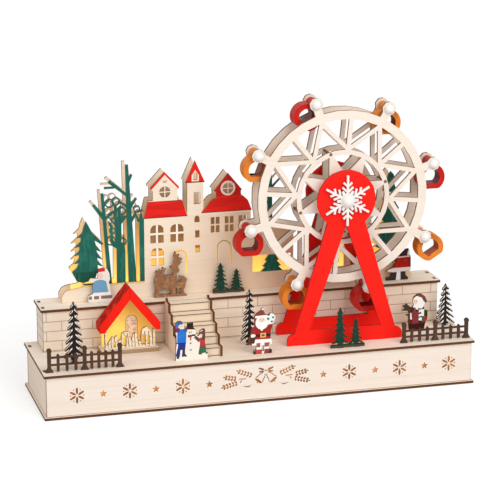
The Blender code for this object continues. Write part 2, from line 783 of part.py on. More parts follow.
TERRACE_FIGURE_HEIGHT = 0.0324
TERRACE_FIGURE_X = WHEEL_X + 0.0741
TERRACE_FIGURE_ROW = TERRACE_FRONT + 0.012
figure("terrace_figure", terrace_deck, TERRACE_FIGURE_HEIGHT, TERRACE_FIGURE_X,
       TERRACE_FIGURE_ROW,
       [(-24, 0), (22, 0), (22, 8), (15, 10), (15, 22), (27, 24), (24, 45), (32, 52),
        (30, 60), (18, 64), (14, 76), (12, 90), (3, 98), (-4, 100), (-12, 92),
        (-16, 78), (-18, 64), (-32, 60), (-34, 50), (-24, 46), (-27, 24), (-15, 22),
        (-15, 10), (-24, 8)],
       [-1], RED, [[(-4, 7), (4, 7), (4, 21), (-4, 21)]])

# Stable: floor, back wall, thick roof boards and a plate of small standing figures

floor_low = DECK_TOP + CLEAR
floor_top = floor_low + STABLE_FLOOR
stable_floor = block("stable_floor", (2 * STABLE_HALF, STABLE_DEPTH, STABLE_FLOOR),
                     (STABLE_X, row(STABLE_ROW) + STABLE_DEPTH / 2,
                      floor_low + STABLE_FLOOR / 2))
finish(stable_floor, BIRCH)

pitch = math.radians(ROOF_PITCH)
ridge = ROOF_EAVE + ROOF_HALF * math.tan(pitch)
roof_drop = ROOF_THICKNESS / math.cos(pitch)
under_ridge = ridge - roof_drop
lip_low = ROOF_EAVE - ROOF_LIP
lip_half = (under_ridge - lip_low) / math.tan(pitch)
right_board = [(CLEAR / 2, under_ridge), (lip_half, lip_low), (ROOF_HALF, lip_low),
               (ROOF_HALF, ROOF_EAVE), (CLEAR / 2, ridge)]
for name, outline in (("stable_roof_right", right_board),
                      ("stable_roof_left", mirrored(right_board))):
    board = sheet(name, [outline], STABLE_DEPTH - PLY)
    board.location = (STABLE_X, row(STABLE_ROW) + (STABLE_DEPTH - PLY) / 2, floor_low)
    board.rotation_euler = UPRIGHT
    finish(board, RED)


def under_roof(x):
    """The height of the roof's underside above the deck, less the clearance."""
    return under_ridge - abs(x) * math.tan(pitch) - CLEAR / math.cos(pitch)


wall_half = lip_half - CLEAR
wall_foot = STABLE_FLOOR + CLEAR
back_wall_outline = [(-wall_half, wall_foot), (wall_half, wall_foot),
                     (wall_half, under_roof(wall_half)), (0, under_roof(0)),
                     (-wall_half, under_roof(wall_half))]
stable_back_wall = sheet("stable_back_wall", [back_wall_outline], PLY)
stable_wall_middle = row(STABLE_ROW) + STABLE_DEPTH - 2 * PLY
stable_back_wall.location = (STABLE_X, stable_wall_middle, floor_low)
stable_back_wall.rotation_euler = UPRIGHT
finish(stable_back_wall, YELLOW)

FIGURE_PLATE_SETBACK = 0.003
NATIVITY_POST = 0.0022
NATIVITY_HEIGHT = 0.021
nativity_grid = NATIVITY_HEIGHT / 21
skyline = [(-0.78, 10), (-0.70, 13.5), (-0.60, 12), (-0.52, 14.5), (-0.46, 9), (-0.36, 9.5),
           (-0.33, 16), (-0.20, 17.5), (-0.05, 17), (-0.02, 11), (0.05, 8), (0.14, 14.5),
           (0.24, 16), (0.31, 12), (0.34, 6.5), (0.42, 6.5), (0.44, 15), (0.50, 19),
           (0.66, 21), (0.82, 17.5)]
post_foot = wall_foot + 4.5 * nativity_grid
post_inner = wall_half - NATIVITY_POST
figures_outline = [(-wall_half, wall_foot), (wall_half, wall_foot),
                   (wall_half, under_roof(wall_half)), (post_inner, under_roof(wall_half)),
                   (post_inner, post_foot)]
for share, height in reversed(skyline):
    figures_outline.append((share * wall_half, wall_foot + height * nativity_grid))
figures_outline += [(-post_inner, post_foot), (-post_inner, under_roof(wall_half)),
                    (-wall_half, under_roof(wall_half))]
arches = []
for share, width, low, high in ((-0.20, 3.5, 3, 13.5), (0.55, 3.2, 3, 13),
                                (0.74, 2.6, 3, 11), (-0.62, 2.6, 3, 8)):
    reach = width / 2 * nativity_grid
    arches.append(rectangle(share * wall_half - reach, share * wall_half + reach,
                            wall_foot + low * nativity_grid, wall_foot + high * nativity_grid))
nativity = sheet("nativity_figures", [figures_outline, *arches], PLY)
nativity.location = (STABLE_X, row(STABLE_ROW + FIGURE_PLATE_SETBACK) + PLY / 2, floor_low)
nativity.rotation_euler = UPRIGHT
finish(nativity, BIRCH)

# Backdrop. Its drawing is 137.2 units high, from the terrace deck up.


def trunk(base, top, left_branches, right_branches):
    """A bare tree's edge: up its left side, over the top and down its right."""
    base_left, base_right, ground = base
    top_left, top_right, crown = top
    twig = 2.6

    def side(start, end, branches):
        """One edge from the ground up, with a tapering branch at each joint height."""
        points = [(start, ground)]
        for joint, tip_x, tip_z in branches:
            share = (joint - ground) / (crown - ground)
            x = start + (end - start) * share
            points += [(x, joint), (tip_x, tip_z - 0.8), (tip_x, tip_z + 0.8)]
            points.append((x, joint + twig))
        points.append((end, crown))
        return points

    left = side(base_left, top_left, left_branches)
    right = side(base_right, top_right, right_branches)
    return left + list(reversed(right))


def gable(left, right, eave, peak, wall_left, wall_right, band):
    """A gable whose roof stands out beyond its walls by a thin band."""
    return [(wall_left, eave - band), (left, eave - band * 0.6), (left, eave),
            ((left + right) / 2, peak), (right, eave), (right, eave - band * 0.6),
            (wall_right, eave - band)]


GROUND = 16.5
fir_left = moved(full_fir(64.5, 17.5, 7, 2.5), -157.3, 17.7)
fir_right = moved(full_fir(96, 18.0, 9, 2.5), 160, 17.7)
curly_tree = [(-127.9, GROUND), (-127.5, 52), (-132.5, 55.5), (-134.2, 61), (-133.8, 74),
              (-135.6, 79), (-134.2, 80.4), (-131.4, 76), (-131.0, 62), (-129.5, 58.5),
              (-126.0, 58.5), (-126.2, 80), (-129.3, 86), (-128.3, 87.2), (-125.9, 84),
              (-125.5, 94), (-122.9, 94), (-122.8, 84), (-120.6, 88.8), (-119.8, 88),
              (-122.4, 80), (-122.6, 58.5), (-121.2, 57.5), (-120.8, 66), (-119.6, 66),
              (-119.4, 54), (-118.9, 50), (-118.9, GROUND)]
backdrop_skyline = [(-184, 0), (-184, 6), (-181, 11), (-176, 13), (-166, 14.2)]
backdrop_skyline += [(-160.5, GROUND)] + fir_left + [(-154, GROUND)]
backdrop_skyline += trunk((-137.2, -132.8, GROUND), (-142.8, -140.1, 109.4),
                          [(82, -150.5, 96.6)],
                          [(82.5, -133.4, 88.5), (96, -134.9, 103.4)])
backdrop_skyline += curly_tree
backdrop_skyline += trunk((-115.9, -107.7, GROUND), (-117.7, -114.9, 137.2),
                          [(92.5, -121.6, 98.8), (105, -135.0, 120.2)],
                          [(80.5, -107.2, 88.0), (92.5, -106.8, 102.4), (118, -111.9, 126.8)])
backdrop_skyline += [(-104.1, GROUND), (-104.1, 80), (-103.2, 86), (-101.6, 86.5),
                     (-100.6, 81.3), (-99.3, 81.3), (-94.8, 98.6), (-90.2, 98.8)]
backdrop_skyline += gable(-92.4, -63.3, 112.0, 127.5, -90.2, -64.9, 3.2)
backdrop_skyline += [(-64.9, 97.8), (-60.4, 97.8), (-55.1, 83.2)]
backdrop_skyline += gable(-56.3, -36.8, 115.2, 137.2, -54.8, -38.2, 0.6)
backdrop_skyline += [(-38.2, 84.2), (-31.0, 94.3), (-27.6, 96.8), (-24.8, 97.3)]
backdrop_skyline += gable(-26.9, 1.9, 104.8, 122.5, -24.8, 0.7, 0.6)
backdrop_skyline += [(0.7, 98), (3.8, 97.7), (8.0, 93.5), (12.0, 83.3), (11.0, 82.6),
                     (11.0, 64)]
backdrop_skyline += trunk((28.8, 33.8, 64), (29.2, 33.2, 120), [(88, 21.0, 97)],
                          [(104, 42.2, 114.3)])
backdrop_skyline += [(58, 64), (58, 59), (56, 59), (56, GROUND), (74, 18.5), (92, GROUND),
                     (110.5, GROUND)]
backdrop_skyline += gable(108, 142, 104.5, 133.5, 110.5, 139.5, 0.6)
backdrop_skyline += [(139.5, GROUND), (156.5, GROUND)] + fir_right + [(163.5, GROUND)]
backdrop_skyline += [(174, 14), (180, 10), (184, 4), (184, 0)]


def panes(left, right, low, high, bar):
    """Four panes of a window with a cross of bars between them."""
    middle_x = (left + right) / 2
    middle_z = (low + high) / 2
    loops = []
    for near, far in ((left, middle_x - bar / 2), (middle_x + bar / 2, right)):
        loops.append(rectangle(near, far, low, middle_z - bar / 2))
        loops.append(rectangle(near, far, middle_z + bar / 2, high))
    return loops


def arched_panes(left, right, low, high, bar):
    """Four panes, the upper two rounded to a pointed arch."""
    middle_x = (left + right) / 2
    middle_z = (low + high) / 2
    half_bar = bar / 2
    width = right - middle_x - half_bar
    upper = [(half_bar, middle_z + half_bar), (half_bar + width, middle_z + half_bar),
             (half_bar + width * 0.96, high - width * 0.62),
             (half_bar + width * 0.6, high - width * 0.14), (half_bar, high)]
    lower = rectangle(half_bar, half_bar + width, low, middle_z - half_bar)
    loops = []
    for pane in (upper, lower):
        loops.append(moved(pane, middle_x, 0))
        loops.append(moved(mirrored(pane), middle_x, 0))
    return loops


def round_panes(centre, radius, bar):
    """Four quarter panes of a round window."""
    start = math.degrees(math.asin(bar / 2 / radius))
    quarter = [(bar / 2, bar / 2)] + arc((0, 0), radius, start, 90 - start, 3)
    return [moved(turned(quarter, 90 * turn), *centre) for turn in range(4)]


def arched_hole(middle, width, low, high):
    """A narrow opening with a round head."""
    half = width / 2
    return [(middle - half, low), (middle + half, low)] + arc((middle, high - half), half, 0,
                                                              180, 4)


def door_slit(middle, width, low, high, slit):
    """The slit that runs up, over and down round an arched door."""
    half = width / 2
    outer = arc((middle, high - half), half, 0, 180, 5)
    inner = arc((middle, high - half), half - slit, 180, 0, 5)
    return ([(middle + half, low)] + outer + [(middle - half, low), (middle - half + slit, low)]
            + inner + [(middle + half - slit, low)])


openings = []
openings += arched_panes(-93.2, -79.5, 55.1, 73.8, 2.0)
openings += arched_panes(-72.6, -58.9, 55.1, 73.5, 2.0)
openings += arched_panes(-93.0, -79.4, 31.6, 50.0, 2.0)
openings += round_panes((-77.9, 107.2), 5.8, 1.1)
openings.append(rectangle(-80.0, -76.0, 116.9, 119.1))
openings.append(door_slit(-62.5, 14.2, 20.5, 46.6, 1.8))
openings.append(rectangle(-48.2, -41.5, 92.6, 105.2))
openings.append(arched_hole(-45.0, 5.2, 73.9, 80.8))
openings.append(rectangle(-47.0, -42.4, 58.0, 65.5))
openings.append(rectangle(-47.0, -42.0, 42.7, 50.2))
openings.append(arched_hole(-46.5, 4.4, 117.4, 125.8))
for window_left in (-30.8, -16.2, -1.8):
    openings += panes(window_left, window_left + 9.2, 62.0, 78.0, 1.4)
openings.append(door_slit(-17.0, 15.4, 28.4, 53.6, 1.0))
openings += round_panes((-12.8, 107.0), 5.6, 1.0)
window_fir = [(12.0, 0), (7.0, 5.0), (10.0, 5.6), (5.2, 11.2), (7.6, 11.8), (3.2, 18.1)]
openings.append([(13.0, 17.0)] + moved([(-x, z) for x, z in window_fir], 33.3, 17.0)
                + [(13.0, 35.1)])
openings.append([(53.6, 35.1)] + moved(list(reversed(window_fir)), 33.3, 17.0)
                + [(53.6, 17.0)])

backdrop_grid = BACKDROP_HEIGHT / 137.2
backdrop_tabs = [place * backdrop_grid for place in (-150, -20, 105)]
backdrop_outline = scaled(backdrop_skyline, backdrop_grid)
standing("backdrop_front", terrace_deck, backdrop_outline, 0, BACKDROP_ROW, backdrop_tabs,
         BIRCH, [scaled(loop, backdrop_grid) for loop in openings], tab=BACKDROP_TAB)
standing("backdrop_rear", terrace_deck, backdrop_outline, 0, BACKDROP_REAR_ROW,
         backdrop_tabs, BIRCH, tab=BACKDROP_TAB)

# Wheel frames


def frame_outline():
    """An A-shaped frame: a round head on two straight legs with a bar and rounded toes."""
    toe_rise = FRAME_FOOT - FRAME_LEG_OUT
    right = [(FRAME_FOOT, 0), (FRAME_FOOT, FRAME_TOE)]
    for point in arc((0, 0), 1, 22.5, 90, 3):
        right.append((FRAME_LEG_OUT + toe_rise * point[0], FRAME_TOE + FRAME_TOE * point[1]))
    run = FRAME_LEG_OUT - FRAME_LEG_TOP
    rise = FRAME_LEG_TOP_HEIGHT - 2 * FRAME_TOE
    lean = math.atan2(rise, -run)
    past_x = FRAME_LEG_OUT
    past_z = 2 * FRAME_TOE - AXLE_HEIGHT
    along = -(past_x * math.cos(lean) + past_z * math.sin(lean))
    offset = past_x ** 2 + past_z ** 2 - FRAME_HEAD ** 2
    along -= math.sqrt(along ** 2 - offset)
    meet_x = past_x + along * math.cos(lean)
    meet_z = past_z + along * math.sin(lean)
    start = math.degrees(math.atan2(meet_z, meet_x))
    head = arc((0, AXLE_HEIGHT), FRAME_HEAD, start, 180 - start, 15)
    return right + head + mirrored(right)


frame_hole = [(-FRAME_OPENING, FRAME_BAR), (FRAME_OPENING, FRAME_BAR), (0, FRAME_OPENING_TIP)]
axle_bore = circle((0, AXLE_HEIGHT), AXLE_RADIUS + CLEAR, 12)
frame_tabs = [-FRAME_LEG_OUT + FRAME_TAB, FRAME_LEG_OUT - FRAME_TAB]
rear_frame_front = TERRACE_FRONT - CLEAR - THICK_PLY
for name, front in (("front_frame", FRAME_ROW), ("rear_frame", rear_frame_front)):
    standing(name, lower_deck, frame_outline(), WHEEL_X, front, frame_tabs, RED,
             [frame_hole, axle_bore], THICK_PLY, FRAME_TAB)

# Decks, cut last because every standing piece has left its slot in them

base_rectangle = rectangle(-half_length, half_length, -half_depth, half_depth)
bottom_plate = sheet("bottom_plate", [base_rectangle], PLY)
bottom_plate.location = (0, 0, PLY / 2)
finish(bottom_plate, BIRCH)
lower_board = sheet("lower_deck", [base_rectangle, *lower_deck["slots"]], PLY)
lower_board.location = (0, 0, DECK_TOP - PLY / 2)
finish(lower_board, BIRCH)
terrace_board = sheet("terrace_deck",
                      [rectangle(-terrace_half, terrace_half, row(TERRACE_FRONT), half_depth),
                       *terrace_deck["slots"]], PLY)
terrace_board.location = (0, 0, terrace_top - PLY / 2)
finish(terrace_board, BIRCH)

# Wheel: every piece of it is placed about an empty on the axle's line

wheel_front = FRAME_ROW + THICK_PLY + WHEEL_FRONT_GAP
wheel_rear = rear_frame_front - WHEEL_REAR_GAP - THICK_PLY
disc_gap = wheel_rear - wheel_front - THICK_PLY
wheel_middle = (wheel_front + wheel_rear + THICK_PLY) / 2
axle_z = DECK_TOP + CLEAR + AXLE_HEIGHT
lug_turn = WHEEL_TURN + 180 / GONDOLA_COUNT
sector = 360 / GONDOLA_COUNT

wheel_axis = bpy.data.objects.new("wheel_axis", None)
wheel_axis.location = (WHEEL_X, row(wheel_middle), axle_z)
cutters.objects.link(wheel_axis)


def on_axle(piece, distance):
    """Puts a piece on the axle's line, facing forward, by its distance behind the edge."""
    piece.parent = wheel_axis
    piece.location = (0, row(distance) - row(wheel_middle), 0)
    piece.rotation_euler = UPRIGHT
    return piece


def line_meets_circle(start, direction, radius):
    """Where a line first leaves a circle about the origin."""
    along = start[0] * direction[0] + start[1] * direction[1]
    offset = start[0] ** 2 + start[1] ** 2 - radius ** 2
    reach = -along + math.sqrt(along ** 2 - offset)
    return (start[0] + reach * direction[0], start[1] + reach * direction[1])


def bearing(point):
    """A point's angle about the origin, in degrees."""
    return math.degrees(math.atan2(point[1], point[0]))


def disc_rim():
    """The disc's outer edge: a round rim with a round lug for each gondola."""
    half_neck = LUG_NECK / 2
    neck_angle = math.degrees(math.asin(half_neck / RIM_RADIUS))
    lug_angle = 180 - math.degrees(math.asin(half_neck / LUG_RADIUS))
    points = []
    for lug in range(GONDOLA_COUNT):
        angle = lug_turn + sector * lug
        edge = arc((PIN_CIRCLE, 0), LUG_RADIUS, -lug_angle, lug_angle, 7)
        points += turned(edge, angle)
        points += arc((0, 0), RIM_RADIUS, angle + neck_angle, angle + sector - neck_angle, 4)
    return points


def disc_windows():
    """The openings between the rim, the inner ring, the spokes and the star."""
    half_spoke = SPOKE_WIDTH / 2
    half_sector = math.radians(sector / 2)
    node = (RING_RADIUS, 0)
    end = (RIM_INNER * math.cos(half_sector), RIM_INNER * math.sin(half_sector))
    slant = math.atan2(end[1] - node[1], end[0] - node[0])
    direction = (math.cos(slant), math.sin(slant))
    edge = (node[0] + half_spoke * direction[1], node[1] - half_spoke * direction[0])
    reach = (half_spoke - edge[1]) / direction[1]
    corner = (edge[0] + reach * direction[0], half_spoke)
    far = line_meets_circle(edge, direction, RIM_INNER)
    start = math.degrees(math.asin(half_spoke / RIM_INNER))
    beside_spoke = [corner] + arc((0, 0), RIM_INNER, start, bearing(far), 2)

    other = (node[0] - half_spoke * direction[1], node[1] + half_spoke * direction[0])
    between = turned([other], -sector / 2)[0]
    turned_way = turned([direction], -sector / 2)[0]
    reach = -between[1] / turned_way[1]
    apex = (between[0] + reach * turned_way[0], 0)
    back = (-turned_way[0], -turned_way[1])
    ring_start = math.degrees(math.asin(SPOKE_WIDTH / RING_RADIUS))
    base_angle = sector / 2 - ring_start * 0.62
    over_ring = [apex] + arc((0, 0), RING_RADIUS, base_angle, -base_angle, 3)

    tip_angle = math.degrees(math.asin(STAR_TIP / 2 / RING_INNER))
    wedge = [(STAR_INNER, 0)]
    wedge += arc((0, 0), RING_INNER, tip_angle - sector / 2, sector / 2 - tip_angle, 3)
    loops = []
    for index in range(GONDOLA_COUNT):
        node_angle = WHEEL_TURN + sector * index
        loops.append(turned(beside_spoke, node_angle))
        loops.append(turned([(x, -y) for x, y in beside_spoke], node_angle))
        loops.append(turned(over_ring, lug_turn + sector * index))
        loops.append(turned(wedge, node_angle))
    return loops


def disc_bores():
    """The bore for the axle and one for each gondola's pin."""
    bores = [circle((0, 0), AXLE_RADIUS + CLEAR, 12)]
    for lug in range(GONDOLA_COUNT):
        place = arc((0, 0), PIN_CIRCLE, lug_turn + sector * lug, 0, 1)[0]
        bores.append(circle(place, PIN_RADIUS + CLEAR, 8))
    return bores


spacer_circle = (RING_RADIUS + RING_INNER) / 2
spacer_places = [arc((0, 0), spacer_circle, lug_turn + 90 * index, 0, 1)[0]
                 for index in range(4)]
disc_loops = [disc_rim(), *disc_windows(), *disc_bores()]
spacer_holes = [circle(place, SPACER_RADIUS + CLEAR, 6) for place in spacer_places]
wheel_front_disc = sheet("wheel_front_disc", disc_loops + spacer_holes, THICK_PLY)
on_axle(wheel_front_disc, wheel_front + THICK_PLY / 2)
finish(wheel_front_disc, BIRCH)

rear_disc = as_mesh(sheet("wheel_rear_disc", disc_loops, THICK_PLY))
for index, place in enumerate(spacer_places):
    reach = disc_gap + 1.5 * THICK_PLY
    spacer = bmesh.new()
    bmesh.ops.create_cone(spacer, cap_ends=True, segments=6, radius1=SPACER_RADIUS,
                          radius2=SPACER_RADIUS, depth=reach,
                          matrix=Matrix.Translation((*place, reach / 2)))
    mesh = bpy.data.meshes.new(f"spacer_{index}")
    spacer.to_mesh(mesh)
    spacer.free()
    dowel = bpy.data.objects.new(f"spacer_{index}", mesh)
    cutters.objects.link(dowel)
    combine(rear_disc, dowel, "UNION")
wheel_rear_disc = as_mesh(rear_disc)
on_axle(wheel_rear_disc, wheel_rear + THICK_PLY / 2)
finish(wheel_rear_disc, BIRCH)

# Axle with a round button behind the rear frame, the snowflake and its cap in front

flake_back = FRAME_ROW - FLAKE_GAP
flake_front = flake_back - FLAKE_PLY
axle_front = flake_front
button_front = rear_frame_front + THICK_PLY + CLEAR
axle_profile = [(0, 0), (AXLE_RADIUS, 0), (AXLE_RADIUS, axle_front - button_front)]
axle_profile += [(y, x + axle_front - button_front) for x, y in
                 reversed(arc((0, 0), BUTTON_RADIUS, 180, 90, 4))]
axle = lathe("axle", axle_profile, 12)
on_axle(axle, axle_front)
finish(axle, BIRCH)

cap_profile = [(y, x) for x, y in arc((0, 0), BUTTON_RADIUS, 0, 90, 4)]
cap_profile[0] = (0, BUTTON_RADIUS)
cap_profile.append((0, 0))
axle_cap = lathe("axle_cap", cap_profile, 14)
on_axle(axle_cap, flake_front - CLEAR)
finish(axle_cap, WHITE, 0.4)


def flake_outline():
    """Six arms with two pairs of side branches, and a short lobe between each two."""
    grid = FLAKE_RADIUS / 25.6
    side = [(8.2, 1.1), (13.0, 6.3), (14.4, 4.9), (10.9, 1.1), (14.0, 1.1), (17.6, 5.0),
            (19.1, 3.6), (16.5, 1.1), (25.6, 1.1)]
    lobe = [(6.9, -1.6), (11.0, -1.3), (11.0, 1.3), (6.9, 1.6)]
    points = []
    for arm in range(6):
        angle = 90 + 60 * arm
        right = [(x, -y) for x, y in side]
        left = list(reversed(side))
        points += turned(scaled(right + left, grid), angle)
        points += turned(scaled(lobe, grid), angle + 30)
    return points


snowflake = sheet("snowflake", [flake_outline(), circle((0, 0), AXLE_RADIUS + CLEAR, 12)],
                  FLAKE_PLY)
on_axle(snowflake, flake_front + FLAKE_PLY / 2)
finish(snowflake, WHITE)

# Gondolas, each fused to its own pin with a round cap at each end

gondola_half = disc_gap / 2 - GONDOLA_PLAY
cap_seat = disc_gap / 2 + THICK_PLY + CLEAR


def gondola_loops():
    """A round car with a flat foot, hung from a neck, with a D-shaped opening."""
    inner_radius = GONDOLA_RADIUS - GONDOLA_CORNER
    corner_z = GONDOLA_CORNER - GONDOLA_FLAT
    corner_x = math.sqrt(inner_radius ** 2 - corner_z ** 2)
    corner_angle = bearing((corner_x, corner_z))
    neck_angle = math.degrees(math.acos(NECK_RADIUS / GONDOLA_RADIUS))
    right = arc((0, 0), GONDOLA_RADIUS, neck_angle, corner_angle, 5)
    right += arc((corner_x, corner_z), GONDOLA_CORNER, corner_angle, -90, 2)[1:]
    body = moved(right + mirrored(right), 0, -GONDOLA_DROP)
    outline = list(reversed(arc((0, 0), NECK_RADIUS, 0, 180, 5))) + body
    seat_angle = math.degrees(math.asin(GONDOLA_SEAT / GONDOLA_OPENING))
    opening = arc((0, -GONDOLA_DROP), GONDOLA_OPENING, -seat_angle, 180 + seat_angle, 7)
    return [outline, opening]


pin_profile = [(radius, cap_seat + height) for height, radius in
               arc((0, 0), CAP_RADIUS, 0, 90, 3)]
pin_profile[0] = (0, cap_seat + CAP_RADIUS)
pin_profile += [(PIN_RADIUS, cap_seat), (PIN_RADIUS, -cap_seat), (REAR_CAP_RADIUS, -cap_seat)]
pin_profile.append((REAR_CAP_RADIUS * 0.6, -cap_seat - REAR_CAP_HEIGHT * 0.8))
pin_profile.append((0, -cap_seat - REAR_CAP_HEIGHT))
car = as_mesh(sheet("car", gondola_loops(), 2 * gondola_half, cutters), cutters)
pin = as_mesh(lathe("pin", pin_profile, 8, cutters), cutters)
combine(car, pin, "UNION")
car = as_mesh(car, cutters)

HANG_ANGLES = (0, 0, 30, 0, 0, 0, 0, -32)
for index in range(GONDOLA_COUNT):
    gondola = bpy.data.objects.new(f"gondola_{index + 1}", car.data.copy())
    village.objects.link(gondola)
    on_axle(gondola, wheel_middle)
    place = arc((0, 0), PIN_CIRCLE, lug_turn + sector * index, 0, 1)[0]
    gondola.location = (place[0], 0, place[1])
    gondola.rotation_euler = (math.pi / 2, math.radians(HANG_ANGLES[index]), 0)
    finish(gondola, RED if index % 2 == 0 else ORANGE)
bpy.data.objects.remove(car, do_unlink=True)

# Battery box, its sliding lid, two cells and the switch, all in the back panel

flange_rear = back_panel_rear + CLEAR + FLANGE_PLY
lid_front = flange_rear + CLEAR
lip_front = lid_front + LID_PLY + CLEAR
lip_rear = lip_front + RAIL_WALL
lid_half_height = box_height / 2
rail_inner = lid_half_height + CLEAR
rail_outer = rail_inner + RAIL_WALL
cavity_depth = 2 * CELL_RADIUS + 2 * CLEAR
box_front = flange_rear - cavity_depth - BOX_WALL
channel_length = box_width + 2 * RAIL_WALL

channel = [(flange_rear - FLANGE_PLY, -rail_outer), (lip_rear, -rail_outer),
           (lip_rear, -rail_inner + RAIL_LIP), (lip_front, -rail_inner + RAIL_LIP),
           (lip_front, -rail_inner), (flange_rear, -rail_inner), (flange_rear, rail_inner),
           (lip_front, rail_inner), (lip_front, rail_inner - RAIL_LIP),
           (lip_rear, rail_inner - RAIL_LIP), (lip_rear, rail_outer),
           (flange_rear - FLANGE_PLY, rail_outer)]
rails = as_mesh(sheet("battery_box", [moved(channel, -half_depth, 0)], channel_length))
rails.rotation_euler = UPRIGHT_ENDWISE
rails.location = (BOX_X, 0, panel_middle)
box_reach = flange_rear - FLANGE_PLY / 2 - box_front
shell = block("box_shell", (box_width, box_reach, box_height),
              (BOX_X, row(box_front) + box_reach / 2, panel_middle), cutters)
combine(rails, shell, "UNION")
mouth_reach = cavity_depth + FLANGE_PLY
cavity = block("box_cavity", (cavity_width, mouth_reach, cavity_height),
               (BOX_X, row(box_front) + BOX_WALL + mouth_reach / 2, panel_middle), cutters)
combine(rails, cavity, "DIFFERENCE")
battery_box = finish(rails, BLACK, 0.5)

battery_lid = block("battery_lid", (channel_length, LID_PLY, 2 * lid_half_height),
                    (BOX_X, row(lid_front) + LID_PLY / 2, panel_middle))
finish(battery_lid, BLACK, 0.5)

cell_profile = [(0, CELL_NUB), (CELL_NUB_RADIUS, CELL_NUB), (CELL_NUB_RADIUS, 0),
                (CELL_RADIUS, 0), (CELL_RADIUS, -CELL_LENGTH), (0, -CELL_LENGTH)]
for side, name in ((-1, "cell_1"), (1, "cell_2")):
    cell = lathe(name, cell_profile, 12)
    cell.rotation_euler = (0, side * math.pi / 2, 0)
    cell.location = (BOX_X + side * (CELL_LENGTH - CELL_NUB) / 2,
                     row(box_front) + BOX_WALL + CLEAR + CELL_RADIUS,
                     panel_middle + side * (CELL_RADIUS + CLEAR / 2))
    finish(cell, STEEL, 0.35, 0.8)

knob_half = SWITCH_KNOB / 2
flange_half = SWITCH_SLOT / 2 + SWITCH_KNOB
switch_inner = back_panel_front - CLEAR
switch_outer = back_panel_rear + BACK_OVERHANG / 2
switch_outline = [(-flange_half, switch_inner - PLY / 2), (flange_half, switch_inner - PLY / 2),
                  (flange_half, switch_inner), (knob_half, switch_inner),
                  (knob_half, switch_outer), (-knob_half, switch_outer),
                  (-knob_half, switch_inner), (-flange_half, switch_inner)]
switch_slider = sheet("switch_slider", [moved(switch_outline, 0, -half_depth)], SWITCH_HEIGHT)
switch_slider.location = (SWITCH_X, 0, panel_middle)
finish(switch_slider, BLACK, 0.5)

# Lamp strips: one in the base behind the cut-outs, one between the backdrop's layers


def lamp_strip(name, length, front, low):
    """A strip with round lamps along its top."""
    outline = [(-length / 2, 0), (length / 2, 0), (length / 2, STRIP_THICKNESS)]
    for lamp in range(LAMP_COUNT):
        x = length / 2 - length * (lamp + 0.5) / LAMP_COUNT
        outline += arc((x, STRIP_THICKNESS), LAMP_RADIUS, 0, 180, 4)
    outline.append((-length / 2, STRIP_THICKNESS))
    strip = sheet(name, [outline], STRIP_DEPTH)
    strip.location = (0, row(front) + STRIP_DEPTH / 2, low + CLEAR)
    strip.rotation_euler = UPRIGHT
    return finish(strip, YELLOW)


BASE_STRIP_SETBACK = 0.012
lamp_strip("base_light_strip", 2 * (end_wall_x - STRIP_MARGIN), BASE_STRIP_SETBACK, PLY)
between_layers = (BACKDROP_ROW + PLY + BACKDROP_REAR_ROW) / 2 - STRIP_DEPTH / 2
lamp_strip("backdrop_light_strip", 2 * (terrace_half - 3 * STRIP_MARGIN), between_layers,
           terrace_top)
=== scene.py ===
import json
import math

import bpy
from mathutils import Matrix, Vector


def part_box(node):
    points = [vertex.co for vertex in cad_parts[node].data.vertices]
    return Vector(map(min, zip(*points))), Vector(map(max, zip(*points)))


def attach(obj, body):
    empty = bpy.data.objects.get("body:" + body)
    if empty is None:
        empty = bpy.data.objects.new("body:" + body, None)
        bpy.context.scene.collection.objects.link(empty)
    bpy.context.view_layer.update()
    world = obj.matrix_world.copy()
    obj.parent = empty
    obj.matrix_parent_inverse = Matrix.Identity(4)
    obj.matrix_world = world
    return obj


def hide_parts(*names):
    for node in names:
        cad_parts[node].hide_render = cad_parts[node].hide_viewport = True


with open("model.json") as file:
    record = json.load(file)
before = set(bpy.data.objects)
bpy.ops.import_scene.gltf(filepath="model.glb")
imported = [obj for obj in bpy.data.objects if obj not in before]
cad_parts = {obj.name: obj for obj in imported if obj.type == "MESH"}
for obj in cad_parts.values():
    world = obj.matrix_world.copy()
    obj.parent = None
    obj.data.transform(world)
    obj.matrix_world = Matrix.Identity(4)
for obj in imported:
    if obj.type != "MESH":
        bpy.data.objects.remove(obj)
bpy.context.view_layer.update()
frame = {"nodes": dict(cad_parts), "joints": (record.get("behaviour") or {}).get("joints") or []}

bpy.ops.object.select_all(action="DESELECT")

# The table and the studio. A pale floor under soft white light, with one broad lamp high on
# the right and a weaker one on the left. The floor and the world look white to the camera,
# and the floor keeps the village's own shadow.

scene = bpy.context.scene
camera_data = bpy.data.cameras.new("view")
camera_data.lens = 158.55
camera_data.sensor_width = 36.0
camera_data.clip_end = 20.0
camera = bpy.data.objects.new("view", camera_data)
camera.location = (-0.56006, -2.04473, 0.71341)
camera.rotation_euler = (math.radians(90 - 15.12), 0, math.radians(-15.33))
scene.collection.objects.link(camera)
scene.camera = camera
scene.view_settings.view_transform = "Standard"

